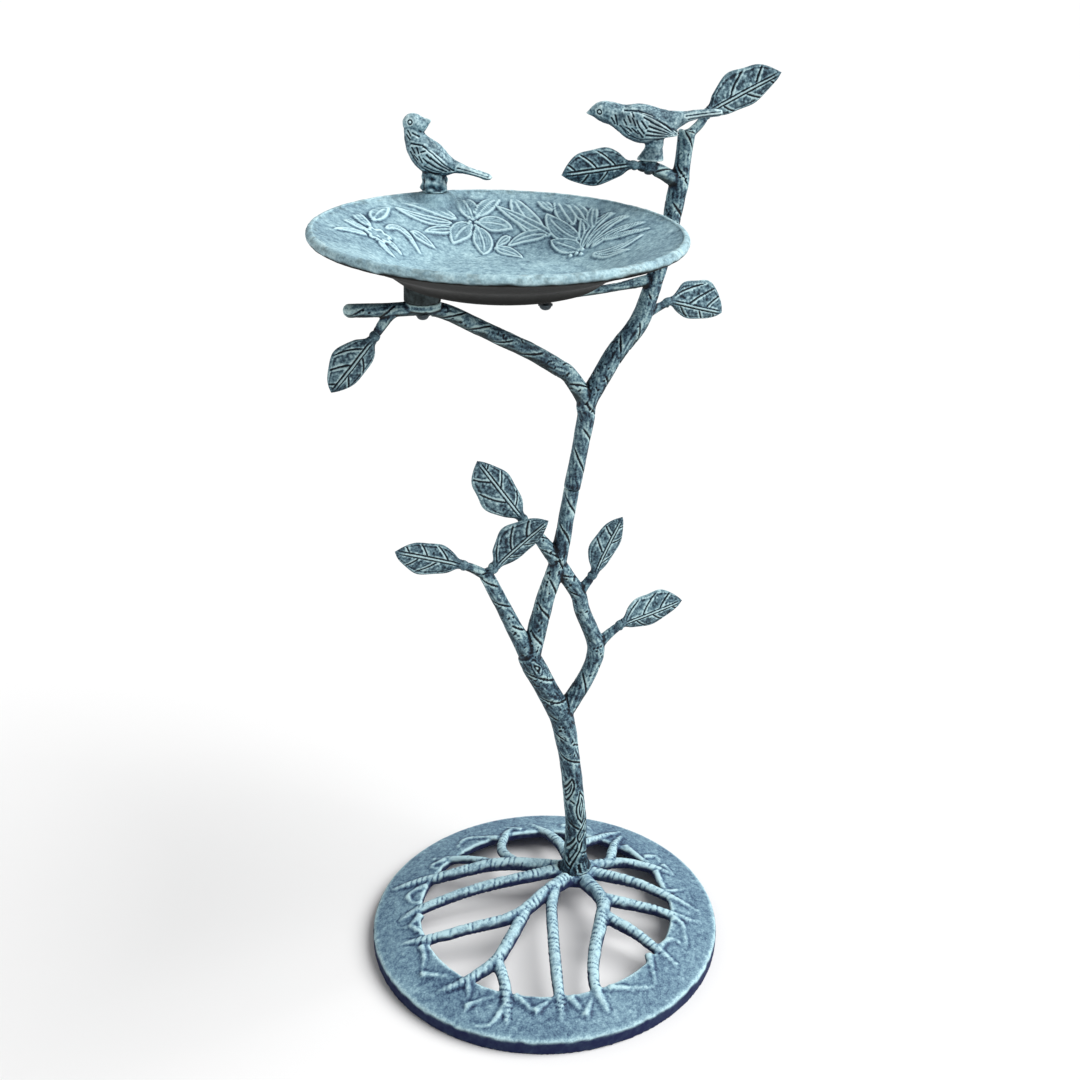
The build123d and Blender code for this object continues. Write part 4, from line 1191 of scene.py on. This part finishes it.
# Feather cuts as lines of (along, height), the same on both sides.
PERCH_CUTS = [
    [(-21, 764), (-10, 764.5), (2, 760), (12, 754.5), (21, 747.5)],
    [(0, 757), (10, 752.5), (20, 747.2)],
    [(-1, 753.5), (9, 750.2), (18, 747)],
    [(-2, 750), (8, 748), (16, 746.6)],
    [(-3, 746.5), (6, 745.8), (13, 745.6)],
    [(-24, 752), (-17, 744.5), (-7, 742), (6, 742.5), (17, 745)],
    [(-5, 760), (2, 756.5)], [(-7, 757), (-3, 752)], [(-9, 753), (-5, 748)],
    [(-21, 757), (-19, 753.5)], [(-18, 760), (-16, 756)], [(-14.5, 759), (-12, 754)], [(-19, 751.5), (-15, 749)],
    [(-11, 757), (-8.5, 752)], [(-14.5, 751), (-9.5, 747.5)], [(-21, 749.5), (-17.5, 747)],
    [(-10, 749.5), (-6, 745)],
    [(-15, 763), (-13.5, 760)], [(-31, 757.5), (-28.5, 753.5)], [(-28, 760), (-26.5, 753)],
    [(28, 761.5), (55, 766.3)], [(30, 758.6), (55, 763.2)],
]
RIM_CUTS = [
    [(-17, 727), (-8, 726), (1, 720), (9, 712), (17, 706)],
    [(-1, 717), (6, 711.5), (14, 706.5)],
    [(-3, 713), (4, 708.5), (11, 705.5)],
    [(-6, 709.5), (1, 706), (7, 704.5)],
    [(-18, 720), (-13, 711.5), (-6, 706), (2, 703.6), (10, 703.8)],
    [(-16.5, 723.5), (-14.5, 720)], [(-12.5, 724), (-11, 720)], [(-9, 721), (-5.5, 722)],
    [(-15, 717.5), (-12, 715)],
    [(-10.5, 717), (-8, 713)], [(-12, 712), (-8.5, 709)], [(-7, 716), (-3, 712.5)], [(-14.5, 714), (-11.5, 711)],
    [(-4, 719), (-1, 716)], [(-9, 707.5), (-4, 705.5)], [(-21, 733), (-18.5, 730)], [(-16, 735), (-11, 732.5)],
    [(-20, 736.5), (-18, 733)], [(20, 708.4), (45, 702)], [(20, 704.8), (45, 699.4)],
]


def bird_loft(sections, centre, standing=False):
    """A rounded solid through sections across the bird's own line, or across an upright line if standing."""
    table = np.array([(*section, 0.0)[:5] for section in sections])
    reached = np.cumsum(np.concatenate([[0], np.linalg.norm(np.diff(table[:, :2], axis=0), axis=1)]))
    steps = np.linspace(0, reached[-1], 4 * len(table))
    rows = [smoothed(np.interp(steps, reached, row), 2) for row in table.T]
    ahead, height, half_depth, half_width, sideways = rows
    slope = np.stack([np.gradient(ahead), np.gradient(height)], 1)
    slope /= np.linalg.norm(slope, axis=1)[:, None]
    phase = 2 * np.pi * np.arange(36) / 36
    rings = []
    for i in range(len(ahead)):
        rise_dir = np.array([1.0, 0.0]) if standing else np.array([-slope[i, 1], slope[i, 0]])
        depth_line = np.outer(np.cos(phase) * half_depth[i], rise_dir)
        middle = centre + bird_along * ahead[i] + bird_side * sideways[i]
        ring = np.outer(depth_line[:, 0], bird_along) + np.outer(np.sin(phase) * half_width[i], bird_side)
        ring[:, 2] += depth_line[:, 1] + height[i]
        rings.append(middle + ring)
    return loft_mesh(np.array(rings))


def feather(mesh, centre, cuts, eye, seed):
    """Cut the feathers and the ringed eye into a bird's skin."""
    points = skin_points(mesh)
    normals = skin_normals(mesh)
    ahead = (points - centre) @ bird_along
    flank = ease(np.abs(normals @ bird_side), 0.15, 0.5)
    spots = np.stack([ahead, points[:, 2]], 1)
    rise = 0.14 * grain(points, 1.6, seed) + 0.26 * grain(points, 4.0, seed + 1)
    deepest = np.zeros(len(points))
    for line in cuts:
        line = np.array(line, float)
        for start, end in zip(line, line[1:]):
            run = end - start
            share = np.clip(((spots - start) @ run) / (run @ run), 0, 1)
            distance = np.linalg.norm(spots - start - share[:, None] * run, axis=1)
            deepest = np.maximum(deepest, cut(distance, 0.75))
    rise -= 0.85 * deepest * flank
    from_eye = np.linalg.norm(spots - np.array(eye), axis=1)
    near_eye = ease(-from_eye, -3.4, -2.4) * flank
    eye_shape = 0.4 * cut(from_eye, 0.7) - 1.0 * cut(from_eye - 1.75, 0.55)
    rise = rise * (1 - near_eye) + eye_shape * near_eye
    return points + normals * rise[:, None]


def bird_stain(points, centre, eye):
    """Dark stain left in patches on the breast and wings, and none on the head."""
    spots = np.stack([(points - centre) @ bird_along, points[:, 2]], 1)
    from_eye = np.linalg.norm(spots - np.array(eye), axis=1)
    return 0.6 * ease(grain(points, 6.0, 88), -0.1, 0.6) * ease(from_eye, 8.0, 18.0)


def mirrored(sections):
    """The same sections on the bird's other side."""
    return [(ahead, height, depth, width, -sideways) for ahead, height, depth, width, sideways in sections]


def bird_skin(name, centre, lying, stand, cuts, eye, seed):
    """A bird's skin with its feathers cut, and the places its points are to take."""
    solids = [bird_loft(sections, centre) for sections in lying]
    solids.append(bird_loft(stand, centre, standing=True))
    skin = fused(name, solids, bird_cell, 4)
    return skin, feather(skin, centre, cuts, eye, seed)


def finish_bird(skin, points, lowest, centre, eye, body, node):
    """Set a bird down on its seat, stain it, paint shade on its down-turned faces and say what it stands for."""
    points[:, 2] = np.maximum(points[:, 2], lowest)
    move_skin(skin, points)
    weather(skin, 9, 0.34, shade_and_stain=bird_stain(points, centre, eye))
    finished(node + "_casting", skin, bird_patina, body, node)


perch_centre = np.array([perch_x, tree_y, 0.0])
perch_eye = (-41.0, 761.6)
perch_parts = [PERCH_BODY, PERCH_WING, mirrored(PERCH_WING)]
skin, points = bird_skin("perch_bird_casting", perch_centre, perch_parts, PERCH_LEG, PERCH_CUTS, perch_eye, 61)
finish_bird(skin, points, perch_seat + 0.1, perch_centre, perch_eye, "perch_bird_body", "perch_bird")

rim_centre = np.array([bird_x, bird_y, 0.0])
rim_eye = (-18.2, 743.4)
rim_parts = [RIM_BODY, RIM_HEAD, RIM_WING, mirrored(RIM_WING)]
skin, points = bird_skin("rim_bird_casting", rim_centre, rim_parts, RIM_PLINTH, RIM_CUTS, rim_eye, 71)
plinth_turn = np.arctan2(points[:, 1] - bird_y, points[:, 0] - bird_x)
plinth_out = np.stack([np.cos(plinth_turn), np.sin(plinth_turn), np.zeros(len(points))], 1)
at_toes = ease(-points[:, 2], -702.5, -699) * ease(points[:, 2], 687.8, 689.5)
toe_shape = 0.5 * np.sin(plinth_turn * 5 + 0.2 * points[:, 2]) + 1.0 * grain(points, 4.2, 81)
points += plinth_out * (toe_shape * at_toes * 1.2)[:, None]
finish_bird(skin, points, rim_top + 1.1, rim_centre, rim_eye, "rim_bird_body", "rim_bird")


# Fixings: zinc-plated steel screws, washers, the stem's stud and the bolt that draws the trunk down on the hub.
# They are turned and headed parts, mostly out of sight; the heads that show have the patina wiped over them.


def steel(name, shades, metal):
    """A turned steel surface: bloom and fine grain over three shades."""
    finish = Finish(name)
    bloom = finish.noise(420.0, 3.0)
    fine = finish.noise(1500.0, 2.0)
    tone = 0.5 + (bloom - 0.5) * 1.2 + (fine - 0.5) * 0.4
    colour = finish.ramp((0.2, 0.6, 0.9), shades, tone)
    skin = finish.node("ShaderNodeBump", values={"Strength": 0.25, "Distance": 0.0002, "Height": fine})
    rough = 0.35 + tone * 0.25
    return finish.surface({"Base Color": colour, "Roughness": rough, "Metallic": metal, "Normal": skin})


zinc = steel("dull_zinc", [(112, 116, 116), (168, 172, 170), (206, 208, 202)], 0.85)
darkened = steel("stained_steel", [(26, 34, 40), (48, 62, 70), (84, 104, 112)], 0.1)

FIXINGS = [(zinc, ("base_bolt", "base_washer", "stem_stud", "rim_bird_washer"))]
FIXINGS += [(darkened, ("bowl_screws", "bowl_washers", "rim_bird_screw", "perch_bird_screw"))]
for cover, names in FIXINGS:
    for fixing in names:
        for cover_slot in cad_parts[fixing].material_slots:
            cover_slot.material = cover
